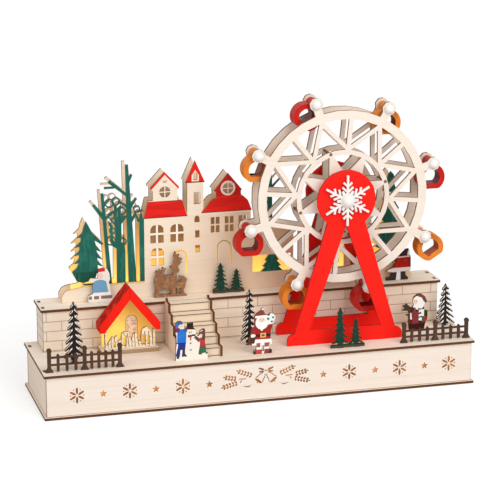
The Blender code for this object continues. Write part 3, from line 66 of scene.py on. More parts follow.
world = bpy.data.worlds.new("studio")
scene.world = world
world.use_nodes = True
sky_nodes = world.node_tree.nodes
sky_links = world.node_tree.links
sky_nodes.clear()
sky_path = sky_nodes.new("ShaderNodeLightPath")
sky_mix = sky_nodes.new("ShaderNodeMixShader")
seen = sky_path.outputs["Is Camera Ray"]
for ray in ("Is Glossy Ray", "Is Transmission Ray"):
    either = sky_nodes.new("ShaderNodeMath")
    either.operation = "MAXIMUM"
    sky_links.new(seen, either.inputs[0])
    sky_links.new(sky_path.outputs[ray], either.inputs[1])
    seen = either.outputs[0]
sky_links.new(seen, sky_mix.inputs[0])
for index, colour, strength in ((1, (1, 0.985, 0.965, 1), 0.57), (2, (1, 1, 1, 1), 1)):
    background = sky_nodes.new("ShaderNodeBackground")
    background.inputs["Color"].default_value = colour
    background.inputs["Strength"].default_value = strength
    sky_links.new(background.outputs[0], sky_mix.inputs[index])
sky_out = sky_nodes.new("ShaderNodeOutputWorld")
sky_links.new(sky_mix.outputs[0], sky_out.inputs["Surface"])

for name, place, size, power in (("key_lamp", (0.68, -1.5, 1.32), 1.5, 23.0),
                                 ("fill_lamp", (-1.3, -1.1, 0.9), 1.2, 8.5)):
    lamp_data = bpy.data.lights.new(name, "AREA")
    lamp_data.size = size
    lamp_data.energy = power
    lamp_data.color = (1.0, 0.975, 0.955)
    lamp = bpy.data.objects.new(name, lamp_data)
    lamp.location = place
    aim = Vector((0, 0, 0.1)) - Vector(place)
    lamp.rotation_euler = aim.to_track_quat("-Z", "Y").to_euler()
    scene.collection.objects.link(lamp)

# Shader maths and outlines are in millimetres, of which a metre has this many.
MM = 1000


def operator(operation, swapped=False):
    """A method for an operator sign, which adds one Math node."""
    def method(self, *others):
        values = (*others, self) if swapped else (self, *others)
        return self.finish.maths(operation, *values)
    return method


class Value:
    """A number that varies over a surface, so that shader maths is written as sums."""

    def __init__(self, finish, socket):
        self.finish = finish
        self.socket = socket

    __add__ = __radd__ = operator("ADD")
    __sub__ = operator("SUBTRACT")
    __rsub__ = operator("SUBTRACT", swapped=True)
    __mul__ = __rmul__ = operator("MULTIPLY")
    __truediv__ = operator("DIVIDE")
    __rtruediv__ = operator("DIVIDE", swapped=True)
    __gt__ = operator("GREATER_THAN")
    __lt__ = operator("LESS_THAN")
    __and__ = operator("MINIMUM")
    __or__ = operator("MAXIMUM")
    __abs__ = operator("ABSOLUTE")
    floor = operator("FLOOR")

    def within(self, low, high):
        """One between two limits, nought outside them."""
        return (self > low) & (self < high)

    def beside(self, period):
        """The distance to the nearest multiple of a period."""
        return self.finish.maths("PINGPONG", self, period / 2)

    def over(self, low, high, start=0.0, end=1.0):
        """The value brought from one range to another and held at its ends."""
        node = self.finish.node("ShaderNodeMapRange", {"clamp": True},
                                {0: self, 1: low, 2: high, 3: start, 4: end})
        return Value(self.finish, node.outputs[0])


class Finish:
    """One finish: a material whose colour is built up in coats, measured in millimetres."""

    def __init__(self, name, colour, roughness=0.6, metallic=0.0):
        self.material = bpy.data.materials.new(name)
        self.material.use_nodes = True
        self.tree = self.material.node_tree
        self.shader = self.tree.nodes["Principled BSDF"]
        self.shader.inputs["Roughness"].default_value = roughness
        self.shader.inputs["Metallic"].default_value = metallic
        self.shader.inputs["Specular IOR Level"].default_value = 0.15
        self.colour = (*colour, 1)
        self.bump = None
        place = self.node("ShaderNodeTexCoord")
        self.place = place.outputs["Object"]
        spot = self.node("ShaderNodeVectorMath", {"operation": "SCALE"},
                         {0: self.place, "Scale": MM})
        parts = self.node("ShaderNodeSeparateXYZ", {}, {0: spot.outputs[0]})
        self.x, self.y, self.z = (Value(self, parts.outputs[i]) for i in range(3))
        facing = self.node("ShaderNodeSeparateXYZ", {}, {0: place.outputs["Normal"]})
        self.nx, self.ny, self.nz = (Value(self, facing.outputs[i]) for i in range(3))

    def node(self, kind, settings=None, values=None):
        """Adds a node, makes its settings, then gives its sockets values or links."""
        node = self.tree.nodes.new(kind)
        for key, setting in (settings or {}).items():
            setattr(node, key, setting)
        for key, value in (values or {}).items():
            if isinstance(value, Value):
                value = value.socket
            if isinstance(value, bpy.types.NodeSocket):
                self.tree.links.new(value, node.inputs[key])
            else:
                node.inputs[key].default_value = value
        return node

    def maths(self, operation, *values):
        node = self.node("ShaderNodeMath", {"operation": operation}, dict(enumerate(values)))
        return Value(self, node.outputs[0])

    def noise(self, scale, detail=3.0, roughness=0.5, shift=(0, 0, 0)):
        """Cloudy noise, with its own scale along each axis in cycles a metre."""
        spread = self.node("ShaderNodeVectorMath", {"operation": "MULTIPLY_ADD"},
                           {0: self.place, 1: scale, 2: shift})
        cloud = self.node("ShaderNodeTexNoise", {},
                          {"Vector": spread.outputs[0], "Scale": 1.0, "Detail": detail,
                           "Roughness": roughness})
        return Value(self, cloud.outputs[0])

    def paint(self, mask, colour):
        """Lays a colour over the coats below it where the mask is one."""
        mix = self.node("ShaderNodeMix", {"data_type": "RGBA"},
                        {0: mask, 6: self.colour, 7: (*colour, 1)})
        self.colour = mix.outputs[2]

    def emboss(self, height, depth):
        """Raises or sinks the surface by a height times a depth in millimetres."""
        values = {"Height": height, "Strength": 1.0, "Distance": depth / MM}
        if self.bump:
            values["Normal"] = self.bump
        self.bump = self.node("ShaderNodeBump", {}, values).outputs[0]

    def glow(self, mask, colour, strength=1.0):
        """Makes the surface shine in a colour where the mask is more than nought."""
        mix = self.node("ShaderNodeMix", {"data_type": "RGBA"},
                        {0: mask, 6: (0, 0, 0, 1), 7: (*colour, 1)})
        self.tree.links.new(mix.outputs[2], self.shader.inputs["Emission Color"])
        self.shader.inputs["Emission Strength"].default_value = strength

    def dress(self, *pieces):
        """Gives the finish to CAD nodes, by name, and to new pieces."""
        if isinstance(self.colour, bpy.types.NodeSocket):
            self.tree.links.new(self.colour, self.shader.inputs["Base Color"])
        else:
            self.shader.inputs["Base Color"].default_value = self.colour
        if self.bump:
            self.tree.links.new(self.bump, self.shader.inputs["Normal"])
        for piece in pieces:
            if isinstance(piece, str):
                piece = frame["nodes"][piece]
            piece.data.materials.clear()
            piece.data.materials.append(self.material)
            for face in piece.data.polygons:
                face.material_index = 0


bpy.ops.mesh.primitive_plane_add(size=12, location=(0, 0, -0.0003))
floor = bpy.context.object
floor.name = "floor"
floor_white = Finish("floor_white", (0.72, 0.71, 0.7), 0.9)
seen = Value(floor_white, floor_white.node("ShaderNodeLightPath").outputs["Is Camera Ray"])
far_x = floor_white.x / 330.0
far_y = floor_white.y / 260.0
away = (far_x * far_x + far_y * far_y).over(0.5, 2.2)
floor_white.paint(seen, (0.62, 0.62, 0.62))
floor_white.paint(seen * away, (0, 0, 0))
floor_white.glow(seen * away.over(0, 1, 0.5, 1), (1, 1, 1))
floor_white.dress(floor)
bpy.ops.object.select_all(action="DESELECT")

# The base box. Sanded birch ply, cut by laser, which leaves every cut edge scorched brown.
# The panels are slotted and glued, and a paper lining glows behind the front's cut-outs.


def birch(name, face, grain, pale=(0.86, 0.765, 0.68), streak=(0.76, 0.63, 0.51),
          burnt=(0.12, 0.043, 0.016), seed=0.0):
    """Sanded ply: streaks along its grain, a scorched edge all round, fine pores."""
    wood = Finish(name, pale, 0.62)
    across = [9 if axis == grain else 420 for axis in "xyz"]
    broad = [5 if axis == grain else 60 for axis in "xyz"]
    fine = wood.noise(across, 4.0, 0.6, (seed, seed, seed))
    cloud = wood.noise(broad, 2.0, 0.5, (seed, 7.0, seed))
    wood.paint(fine.over(0.48, 0.74) * 0.45, streak)
    wood.paint(cloud.over(0.5, 0.8) * 0.5, streak)
    wood.paint(fine.over(0.3, 0.2) * 0.4, (0.93, 0.84, 0.72))
    normal = getattr(wood, "n" + face)
    cut = abs(normal) < 0.9
    wood.paint(cut, burnt)
    wood.paint(abs(normal).within(0.5, 0.9), (0.05, 0.018, 0.009))
    wood.emboss(fine, 0.05)
    wood.cut = cut
    return wood


def scorch_rim(wood, node, axes, width):
    """Browns a sheet's face in a narrow line inside its outer edges."""
    low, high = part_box(node)
    near = None
    for axis in axes:
        value = getattr(wood, axis)
        index = "xyz".index(axis)
        for distance in (value - low[index] * MM, high[index] * MM - value):
            near = distance if near is None else near & distance
    wood.paint(near.over(width, 0.0) * 0.8 * (1 - wood.cut), (0.25, 0.12, 0.06))


def take_up(piece):
    """Selects a piece and makes it the active one."""
    bpy.context.view_layer.objects.active = piece
    piece.select_set(True)


def bevelled(piece, width, segments=1, angle=40, limit="ANGLE"):
    """Bevels the active piece's sharp edges, or those with a weight."""
    edge = piece.modifiers.new("rim", "BEVEL")
    edge.width = width
    edge.segments = segments
    edge.limit_method = limit
    edge.angle_limit = math.radians(angle)
    bpy.ops.object.modifier_apply(modifier="rim")


def soften(piece, rim, merge=True):
    """Welds a solid's seams, merges its flat faces and bevels its sharp edges narrowly."""
    take_up(piece)
    bpy.ops.object.mode_set(mode="EDIT")
    bpy.ops.mesh.select_all(action="SELECT")
    bpy.ops.mesh.remove_doubles(threshold=0.00001)
    if merge:
        bpy.ops.mesh.dissolve_limited(angle_limit=math.radians(1))
    bpy.ops.mesh.normals_make_consistent(inside=False)
    bpy.ops.object.mode_set(mode="OBJECT")
    if rim:
        bevelled(piece, rim)
    piece.select_set(False)


def cut_sheet(name, loops, front_y, thickness, rim=0.00025):
    """A sheet cut to outlines given in millimetres, stood upright with its front at a depth."""
    drawing = bpy.data.curves.new(name, "CURVE")
    drawing.dimensions = "2D"
    drawing.fill_mode = "BOTH"
    drawing.extrude = thickness / 2
    for loop in loops:
        spline = drawing.splines.new("POLY")
        spline.points.add(len(loop) - 1)
        for point, (x, z) in zip(spline.points, loop):
            point.co = (x / MM, z / MM, 0, 1)
        spline.use_cyclic_u = True
    piece = bpy.data.objects.new(name, drawing)
    scene.collection.objects.link(piece)
    piece.rotation_euler = (math.pi / 2, 0, 0)
    piece.location = (0, front_y + thickness / 2, 0)
    take_up(piece)
    bpy.ops.object.convert(target="MESH")
    bpy.ops.object.shade_flat()
    bpy.ops.object.transform_apply(location=True, rotation=True, scale=True)
    soften(piece, rim)
    return piece


def node_sheet(name, loops):
    """A sheet cut to outlines of its own, as thick and as deep as the node it replaces."""
    low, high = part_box(name)
    return cut_sheet(name + "_cut", loops, low.y, high.y - low.y, 0.0002)


def placed(loop, x, z, turn=0.0):
    """An outline turned by some degrees and moved."""
    cos = math.cos(math.radians(turn))
    sin = math.sin(math.radians(turn))
    return [(x + px * cos - pz * sin, z + px * sin + pz * cos) for px, pz in loop]


def ring(x, z, radius, steps=10, height=1.0):
    """A round or oval outline."""
    angles = [2 * math.pi * step / steps for step in range(steps)]
    return [(x + radius * math.cos(a), z + radius * height * math.sin(a)) for a in angles]


def petal(x, z, end_x, end_z, width):
    """A slim pointed outline from one point to another."""
    length = math.hypot(end_x - x, end_z - z)
    turn = math.degrees(math.atan2(end_z - z, end_x - x))
    half = width / 2
    shape = [(0, 0), (length * 0.3, -half), (length * 0.85, -half * 0.8), (length, 0),
             (length * 0.85, half * 0.8), (length * 0.3, half)]
    return placed(shape, x, z, turn)


def sprig(x, z, end_x, end_z, pairs):
    """A twig of small leaves in pairs, with one more at its tip."""
    turn = math.degrees(math.atan2(end_z - z, end_x - x))
    leaves = []
    for pair in range(pairs):
        share = pair / pairs
        root_x = x + (end_x - x) * share
        root_z = z + (end_z - z) * share
        for side in (-50, 50):
            leaf = petal(0.2, 0, 3.3, 0, 2.0)
            leaves.append(placed(leaf, root_x, root_z, turn + side))
    leaves.append(placed(petal(-1.6, 0, 1.6, 0, 1.2), end_x, end_z, turn))
    return leaves


low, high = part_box("base_front_panel")
PATTERN_HEIGHT = 22.6
STAR_REACH = (3.9, 1.7)
cutouts = []
for flake_x in (-187.9, -135.6, -82.6, 88.2, 141.2, 193.5):
    for arm in range(6):
        spoke = petal(0.9, 0, 8.2, 0, 2.3)
        cutouts.append(placed(spoke, flake_x, PATTERN_HEIGHT, 90 + 60 * arm))
        dot = ring(6.4, 0, 0.62, 6)
        cutouts.append(placed(dot, flake_x, PATTERN_HEIGHT, 60 * arm))
for star_x in (-162.0, -109.6, -55.9, 61.1, 115.2, 167.6):
    star = []
    for corner in range(10):
        star += placed([(STAR_REACH[corner % 2], 0)], 0, 0, 90 + 36 * corner)
    cutouts.append(placed(star, star_x, PATTERN_HEIGHT - 0.3))
bell_side = [(0.9, -0.2), (2.4, -1.2), (3.3, -3.6), (3.7, -6.4), (4.9, -9), (4, -9), (2.9, -6.5),
             (2.5, -3.8), (1.8, -1.8), (0.9, -1)]
bell = [bell_side, [(-x, z) for x, z in reversed(bell_side)],
        ring(0, -10.1, 4.3, 14, 0.32), ring(0, -12.3, 0.65, 8)]
half_garland = [placed(cut, 0.3, 29.4, -38) for cut in bell]
half_garland += sprig(-12.8, 27.6, -27.2, 33.4, 5)
half_garland += sprig(-28.8, 25.6, -40.6, 27.8, 4)
half_garland += sprig(-27.8, 21.2, -42.6, 17.4, 5)
half_garland += [petal(-17.4, 24.7, -26.4, 24.9, 1), petal(-22.6, 23.8, -24.6, 20.8, 1.1),
                 petal(0.5, 32.3, -6, 34.6, 2.1), petal(0.5, 31, -5.8, 30.6, 1.8)]
half_garland.append([(-22.2, 17.3), (-18, 15.9), (-15.4, 15.6), (-12.6, 18.5),
                     (-15.7, 16.7), (-18, 17)])
GARLAND_MIDDLE = 1.8
cutouts += half_garland
cutouts += [[(2 * GARLAND_MIDDLE - x, z) for x, z in reversed(cut)] for cut in half_garland]
cutouts.append(ring(GARLAND_MIDDLE, 31.7, 0.85, 8))
panel_sheet = [(x * MM, z * MM) for x, z in ((low.x, low.z), (high.x, low.z),
                                             (high.x, high.z), (low.x, high.z))]
panel_piece = cut_sheet("front_panel", [panel_sheet, *cutouts], low.y, high.y - low.y, 0.0003)
panel = birch("front_panel_birch", "y", "x", seed=1.3)
inside = panel.cut & panel.z.within(8.0, 38.0) & panel.x.within(-212.0, 214.0)
panel_glow_patches = panel.noise((70, 70, 70), 2.0, 0.5)
# The cut-outs' walls are scorched dark near the front and painted orange further back, with a glow:
# painted light from the lamps behind the lining.
panel.paint(inside, (0.13, 0.045, 0.018))
panel.paint(inside & (panel.y > low.y * MM + 0.9), (0.42, 0.17, 0.05))
panel.glow(inside * (panel.y - low.y * MM).over(0.6, 2.5, 0.0, 0.4)
           * panel_glow_patches.over(0.35, 0.65, 0.4, 1), (1, 0.5, 0.14))
scorch_rim(panel, "base_front_panel", "xz", 0.5)
panel.dress(panel_piece)
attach(panel_piece, "village")
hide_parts("base_front_panel")

plain = birch("panel_birch", "y", "x", seed=2.1)
plain.dress("base_back_panel")

end_panel = birch("end_panel_birch", "x", "y", pale=(0.88, 0.745, 0.63), seed=3.7)
scorch_rim(end_panel, "base_left_panel", "yz", 0.5)
end_panel.dress("base_left_panel", "base_right_panel")

deck = birch("lower_deck_birch", "z", "x", pale=(0.92, 0.82, 0.7), seed=4.4)
scorch_rim(deck, "lower_deck", "xy", 0.7)
deck.dress("lower_deck")

bottom = birch("bottom_birch", "z", "x", seed=5.2)
bottom_inside = (bottom.nz > 0.5) & bottom.y.within(-52.0, 48.0)
bottom_inside = bottom_inside & (abs(bottom.x) < 214.0)
# The inside face of the bottom plate glows faintly orange: painted light from the lamps in the box.
bottom.glow(bottom_inside * 0.35, (1.0, 0.5, 0.12))
bottom.dress("bottom_plate")

LINING_LENGTH = 0.424
LINING_HEIGHT = 0.034
PAPER_THICKNESS = 0.0004
bpy.ops.mesh.primitive_grid_add(x_subdivisions=24, y_subdivisions=4, size=1,
                                location=(0, high.y + 0.0012, (low.z + high.z) / 2),
                                rotation=(math.pi / 2, 0, 0))
lining = bpy.context.object
lining.name = "front_panel_lining"
lining.scale = (LINING_LENGTH, LINING_HEIGHT, 1)
bpy.ops.object.transform_apply(location=True, rotation=True, scale=True)
solidify = lining.modifiers.new("paper", "SOLIDIFY")
solidify.thickness = PAPER_THICKNESS
bpy.ops.object.modifier_apply(modifier="paper")
paper = Finish("glowing_paper", (0.56, 0.29, 0.11), 0.9)
# The paper glows brightest over each lamp: painted light from the lamps behind it.
lamp_distance = (paper.x + 208.0).beside(46.0).over(3.0, 20.0)
paper.glow(lamp_distance.over(0, 1, 0.48, 0.1), (1, 0.46, 0.12))
paper.dress(lining)
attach(lining, "village")
bpy.ops.object.select_all(action="DESELECT")

# The terrace. Birch ply walls engraved with four courses of bricks carry a second deck,
# let into it with tabs. The engraving is a thin scorched line a fifth of a millimetre deep.

COURSE = 10.0
BRICK = 31.0
ENGRAVED = 0.32
WALL_FOOT = 46.2
WALL_START = 188.0
STONE = {"pale": (0.87, 0.75, 0.62), "streak": (0.77, 0.61, 0.46)}


def bricks(wall, along, facing, seed=0.0):
    """Engraves four courses of bricks, each course shifted by half a brick."""
    height = wall.z - WALL_FOOT
    course = (height / COURSE).floor()
    bed = height.beside(COURSE) < ENGRAVED
    joint = (along + WALL_START + seed + course * (BRICK / 2)).beside(BRICK) < ENGRAVED
    line = (bed | joint) & facing
    wall.paint(line * 0.75, (0.33, 0.17, 0.09))
    wall.emboss(1 - line, 0.2)


terrace_front = birch("terrace_front_birch", "y", "x", seed=6.1, **STONE)
bricks(terrace_front, terrace_front.x, terrace_front.ny < -0.5)
terrace_front.dress("terrace_front_wall")

terrace_end = birch("terrace_end_birch", "x", "y", seed=7.5, **STONE)
bricks(terrace_end, terrace_end.y, abs(terrace_end.nx) > 0.5, 9.0)
terrace_end.dress("terrace_left_wall", "terrace_right_wall")

terrace_back = birch("terrace_back_birch", "y", "x", seed=8.2)
terrace_back.dress("terrace_back_wall")

terrace_top = birch("terrace_deck_birch", "z", "x", pale=(0.92, 0.82, 0.7), seed=9.4)
scorch_rim(terrace_top, "terrace_deck", "xy", 0.7)
terrace_top.dress("terrace_deck")

# The stairs. Five treads with their risers between two saw-toothed cheeks, all of the same
# ply, glued. The treads' front edges stay pale and the cheeks show their scorched teeth.

tread = birch("tread_birch", "z", "x", pale=(0.86, 0.73, 0.58), burnt=(0.8, 0.66, 0.51),
              seed=10.3)
first_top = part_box("stair_step_1")[1].z * MM
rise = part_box("stair_step_2")[1].z * MM - first_top
# Painted shade: a dark line and a softer brown band across the front faces at the height of each tread's
# top, where the nose meets the riser.
under_nose = (tread.z - first_top).beside(rise)
tread.paint((under_nose < 0.9) & (tread.ny < -0.5), (0.045, 0.018, 0.01))
tread.paint(under_nose.over(2.6, 0.4) * (tread.ny < -0.5) * 0.4, (0.42, 0.26, 0.15))
tread.dress(*[f"stair_step_{step}" for step in range(1, 6)])

cheek = birch("cheek_birch", "x", "z", pale=(0.84, 0.7, 0.55), seed=11.6)
cheek.dress("stair_left_cheek", "stair_right_cheek")

# Fences and bare firs. Ply painted a very dark brown, with the scorched edges left as they
# are. The firs' twigs carry thin pale strokes of snow along their upper sides.


def mottled(name, colour, roughness, scale, worn, share, low=0.5, high=0.8, depth=0,
            detail=3.0, metallic=0):
    """Paint, wood or metal that drifts from one colour to another in soft clouds."""
    coat = Finish(name, colour, roughness, metallic)
    cloud = coat.noise(scale, detail)
    coat.paint(cloud.over(low, high) * share, worn)
    if depth:
        coat.emboss(cloud, depth)
    return coat


fence_paint = mottled("dark_brown_paint", (0.075, 0.035, 0.022), 0.55, (40, 300, 40),
                      (0.13, 0.065, 0.04), 0.6, 0.45, 0.7, depth=0.05)
fence_paint.paint(abs(fence_paint.ny) < 0.5, (0.05, 0.022, 0.014))
fence_paint.dress("left_fence", "right_fence")


def fir_outline(middle, foot, top, reach, tiers):
    """A snowy fir's outline: a stout middle with drooping boughs that part near their tips."""
    step = (top - foot) * 0.8 / tiers
    sides = []
    for shift in (0.0, 0.35):
        side = []
        for tier in range(tiers):
            share = (tier + 1 - shift) / tiers
            out = reach * (0.24 + 0.76 * share)
            inner = out * 0.46
            root = top - step * (tier + 0.22 + shift * 0.5)
            side += [(inner, root - inner * FIR_SLOPE), (out, root - out * FIR_SLOPE),
                     (out - 0.3, root - out * FIR_SLOPE - step * 0.4),
                     (inner, root - inner * FIR_SLOPE - step * 0.66)]
        side.append((2.4, foot))
        sides.append(side)
    right, left = sides
    points = [(0.0, top)] + right + [(-x, z) for x, z in reversed(left)]
    return placed(points, middle, 0), step


FIR_SLOPE = 0.92
FIR_FOOT = 2.3
for name, tiers in (("dark_fir_left", 8), ("dark_fir_middle", 8), ("dark_fir_right", 7)):
    low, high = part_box(name)
    middle = (low.x + high.x) * MM / 2
    reach = (high.x - low.x) * MM * 0.54
    outline, step = fir_outline(middle, low.z * MM + FIR_FOOT, high.z * MM, reach, tiers)
    fir = node_sheet(name, [outline])
    bark = Finish(name + "_paint", (0.02, 0.014, 0.012), 0.6)
    grainy = bark.noise((500, 500, 500), 2.0, 0.6)
    side = bark.x - middle
    phase = high.z * MM - step * 0.22 - (side < 0.0) * (step * 0.175)
    stroke = (bark.z + abs(side) * FIR_SLOPE - phase).beside(step)
    core = 0.5 + (high.z * MM - bark.z) * 0.032
    snow = (stroke < 0.95) & (abs(side) > core) & (bark.ny < -0.9)
    bark.paint(snow & (grainy > 0.3), (0.93, 0.89, 0.84))
    bark.paint(abs(bark.ny) < 0.9, (0.06, 0.028, 0.016))
    bark.emboss(grainy, 0.05)
    bark.dress(fir)
    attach(fir, "village")
    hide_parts(name)

# The stable. A thick ply floor and two roof boards painted red, a yellow back wall, and one
# fretted plate of little standing figures, left in bare wood with drawn brown outlines.

roof = Finish("stable_roof_red", (0.52, 0.01, 0.004), 0.8)
roof_cloud = roof.noise((130, 130, 130), 3.0, 0.5)
roof.paint(roof_cloud.over(0.45, 0.62) * 0.75, (0.84, 0.04, 0.01))
roof.paint(roof_cloud.over(0.46, 0.36) * 0.8, (0.22, 0.01, 0.006))
# The front edges of the roof boards are painted a brighter red than the slopes: the slopes' deeper red is
# painted shade.
roof.paint(roof.ny < -0.5, (0.88, 0.014, 0.005))
roof.emboss(roof_cloud, 0.08)
roof.dress("stable_roof_left", "stable_roof_right")

low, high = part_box("stable_back_wall")
stable_x = (low.x + high.x) * MM / 2
NICHE_SPRING = 74.0
NICHE_TOP = 80.0
wall = Finish("stable_wall_yellow", (0.9, 0.52, 0.1), 0.6)
# The wall is painted a brighter yellow and glows more towards its lower left: painted lamp light.
warm = (wall.z + (wall.x - stable_x) * 0.9).over(58.0, 92.0)
wall.paint(warm.over(0, 0.55, 0.85, 0), (0.93, 0.78, 0.16))
niche_x = abs(wall.x - stable_x - 4.5)
niche_z = (wall.z - NICHE_SPRING).over(0, 40, 0, 40)
arch_reach = niche_x * niche_x + niche_z * niche_z
wall.paint((arch_reach < 40.0) & (wall.z < NICHE_TOP), (0.2, 0.11, 0.05))
wall.paint((arch_reach < 28.0) & (wall.z < NICHE_TOP), (0.78, 0.62, 0.62))
speckle = wall.noise((420, 420, 420), 2.0, 0.5)
wall.paint((arch_reach < 24.0) & (speckle > 0.52), (0.4, 0.28, 0.33))
wall.glow(warm.over(0, 1, 0.42, 0.22), (1, 0.62, 0.14))
wall.dress("stable_back_wall")

stable_board = birch("stable_floor_birch", "z", "x", burnt=(0.42, 0.27, 0.15), seed=12.8)
stable_board.dress("stable_floor")

crib = birch("nativity_birch", "y", "z", pale=(0.9, 0.79, 0.6), streak=(0.84, 0.66, 0.42),
             burnt=(0.22, 0.11, 0.05), seed=13.1)
crease = (crib.x + crib.noise((60, 60, 60), 2.0, 0.5) * 6.0).beside(3.4)
crib.paint((crease < 0.4) & crib.z.within(51, 66), (0.26, 0.14, 0.08))
hems = (crib.z + abs(crib.x - stable_x) * 0.35).beside(5.2)
crib.paint((hems < 0.3) & (crib.z < 66.0) * 0.7, (0.45, 0.3, 0.2))
crib.dress("nativity_figures")

# Figures on the lower deck, and the child with a sledge on the terrace. Each is one cut
# plate, printed in flat colours on its front and stood in a slot. Their backs are bare ply
# and their edges are scorched.

SKIN = (0.88, 0.62, 0.5)
INK = (0.035, 0.025, 0.022)
SNOW = (0.9, 0.9, 0.88)


def oval(finish, x, z, half_width, half_height):
    """A mask of one inside an upright oval."""
    across = (finish.x - x) / half_width
    up = (finish.z - z) / half_height
    return across * across + up * up < 1.0


def field(finish, *corners):
    """A mask of one inside a convex shape whose corners run anticlockwise."""
    mask = None
    for index, (x, z) in enumerate(corners):
        next_x, next_z = corners[(index + 1) % len(corners)]
        side = (finish.z - z) * (next_x - x) - (finish.x - x) * (next_z - z)
        mask = side if mask is None else mask & side
    return mask > 0.0


def printed(name, ground, shapes, piece=None):
    """A plate printed on its front, in millimetres.

    A shape is its colour and then an oval's middle and half sizes, or a field's corners.
    """
    plate = birch(name + "_print", "y", "z", burnt=(0.16, 0.08, 0.045), seed=len(shapes))
    front = plate.ny < -0.9
    wear = plate.noise((300, 300, 300), 3.0, 0.5)
    plate.paint(front, ground)
    for colour, *numbers in shapes:
        if len(numbers) == 4:
            mask = oval(plate, *numbers)
        else:
            mask = field(plate, *zip(numbers[::2], numbers[1::2]))
        plate.paint(mask & front, colour)
    plate.paint(wear.over(0.62, 0.85) * front * 0.12, (0.75, 0.62, 0.48))
    plate.dress(piece or name)


group_outline = [(-86.8, 43), (-54.2, 43), (-54.2, 50.8), (-56.2, 52.5), (-56, 56), (-57.2, 62),
                 (-56.8, 66), (-57, 75.6), (-59, 76), (-62.3, 73.8), (-62.3, 70.5), (-64.5, 68.8),
                 (-66, 70.8), (-65.8, 74.5), (-66.8, 76.2), (-68.9, 78.4), (-68.9, 83.2), (-70.2, 83.2),
                 (-70.4, 82.6), (-74.8, 82.6), (-74.8, 79), (-76, 77.4), (-78, 78), (-78, 82),
                 (-79.4, 84.2), (-81.5, 85.4), (-84.3, 85.4), (-86.4, 83.4), (-87, 78.8), (-87.1, 74.2),
                 (-86, 71), (-86, 62), (-86.8, 56)]
group = node_sheet("snowman_group", [group_outline])
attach(group, "village")
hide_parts("snowman_group")
BLUE = (0.02, 0.17, 0.66)
NAVY = (0.02, 0.035, 0.22)
DUSK = (0.03, 0.04, 0.09)
GROUP_WHITE = (0.86, 0.81, 0.74)
printed("snowman_group", GROUP_WHITE, (
    (NAVY, -84.4, 56, -77.2, 56, -76.4, 63.4, -84.4, 63.4),
    (NAVY, -86.8, 50.2, -82.4, 50.2, -81.9, 58.2, -84.8, 58.2),
    (DUSK, -80.4, 50.2, -77.4, 50.2, -77.2, 58.2, -79.8, 58.2),
    (DUSK, -80.6, 49, -75.2, 49, -76.8, 51.6, -80.4, 51.8),
    (DUSK, -85.6, 47.2, -83.6, 47.2, -82.4, 51, -86.4, 51),
    (BLUE, -85.4, 62.9, -76.2, 62.9, -75.6, 77.5, -84.8, 77.5),
    ((0.01, 0.03, 0.2), -86.4, 62.5, -76.2, 62.5, -76.4, 63.5, -86.4, 63.5),
    ((0.06, 0.09, 0.22), -79, 74.3, -75, 74.3, -75, 77.4, -79, 77.4),
    ((0.02, 0.25, 0.36), -80.6, 69.8, -78, 69.8, -78, 72.6, -80.6, 72.6),
    ((0.17, 0.03, 0.12), -87.2, 74, -82.4, 74.6, -82.6, 78.9, -87.2, 78.9),
    ((0.05, 0.16, 0.4), -87.2, 79, -83.9, 79, -82.6, 86, -86.8, 85),
    ((0.035, 0.12, 0.28), -82, 83.6, 2.7, 2.1),
    (SKIN, -81.2, 80.3, 2.5, 2),
    (INK, -80.6, 80.6, 0.3, 0.4),
    ((0.02, 0.013, 0.006), -74.9, 78.2, -68.8, 78.2, -68.8, 83.4, -74.9, 82.8),
    ((0.045, 0.025, 0.014), -76, 76.6, -66.8, 76, -68.4, 78.6, -75, 78.6),
    ((0.1, 0.045, 0.02), -74.4, 68.2, -70.2, 68.8, -70.2, 70.8, -74.4, 70.9),
    ((0.02, 0.012, 0.01), -70.2, 69.4, -66.9, 69.4, -66.6, 71, -70.2, 71.2),
    ((0.5, 0.12, 0.11), -72.3, 64.9, -71.1, 64.9, -70.7, 68.9, -72.5, 68.9),
    (INK, -72.6, 73.6, 0.75, 0.6),
    (INK, -70.6, 73.9, 0.5, 0.5),
    ((0.85, 0.3, 0.05), -71.5, 72.5, 0.9, 0.4),
    ((0.1, 0.09, 0.08), -71.7, 62.2, 0.8, 0.9),
    ((0.3, 0.32, 0.27), -71.6, 55.4, 1.1, 1),
    ((0.02, 0.17, 0.09), -62.6, 50.4, -56.4, 51.6, -55.8, 57.2, -62.6, 57.2),
    ((0.07, 0.09, 0.05), -63.9, 50.2, -60.4, 49.6, -61, 54, -63, 56),
    ((0.07, 0.09, 0.05), -56.8, 50.2, -54, 50.2, -54.2, 51.8, -56, 53.6),
    ((0.13, 0.07, 0.05), -63, 56.4, -56, 56.4, -56.8, 58.8, -62.4, 58.8),
    ((0.5, 0.035, 0.04), -62.4, 58.4, -56.8, 58.4, -57.2, 66, -62, 67.6),
    ((0.2, 0.055, 0.05), -63.4, 62.4, -60.8, 65.4, -66.8, 69.8, -68.4, 67.6),
    ((0.115, 0.055, 0.035), -60.6, 65.2, -56.6, 64.6, -56.4, 72, -59.6, 72),
    ((0.115, 0.055, 0.035), -60.2, 70.6, -56.6, 70.6, -56.8, 76.2, -59.4, 76.2),
    ((0.15, 0.08, 0.05), -62.5, 71, -59.4, 70.6, -59.4, 74, -62.5, 73.2),
    (SKIN, -61.4, 69.6, 1.2, 1.3),
), group)

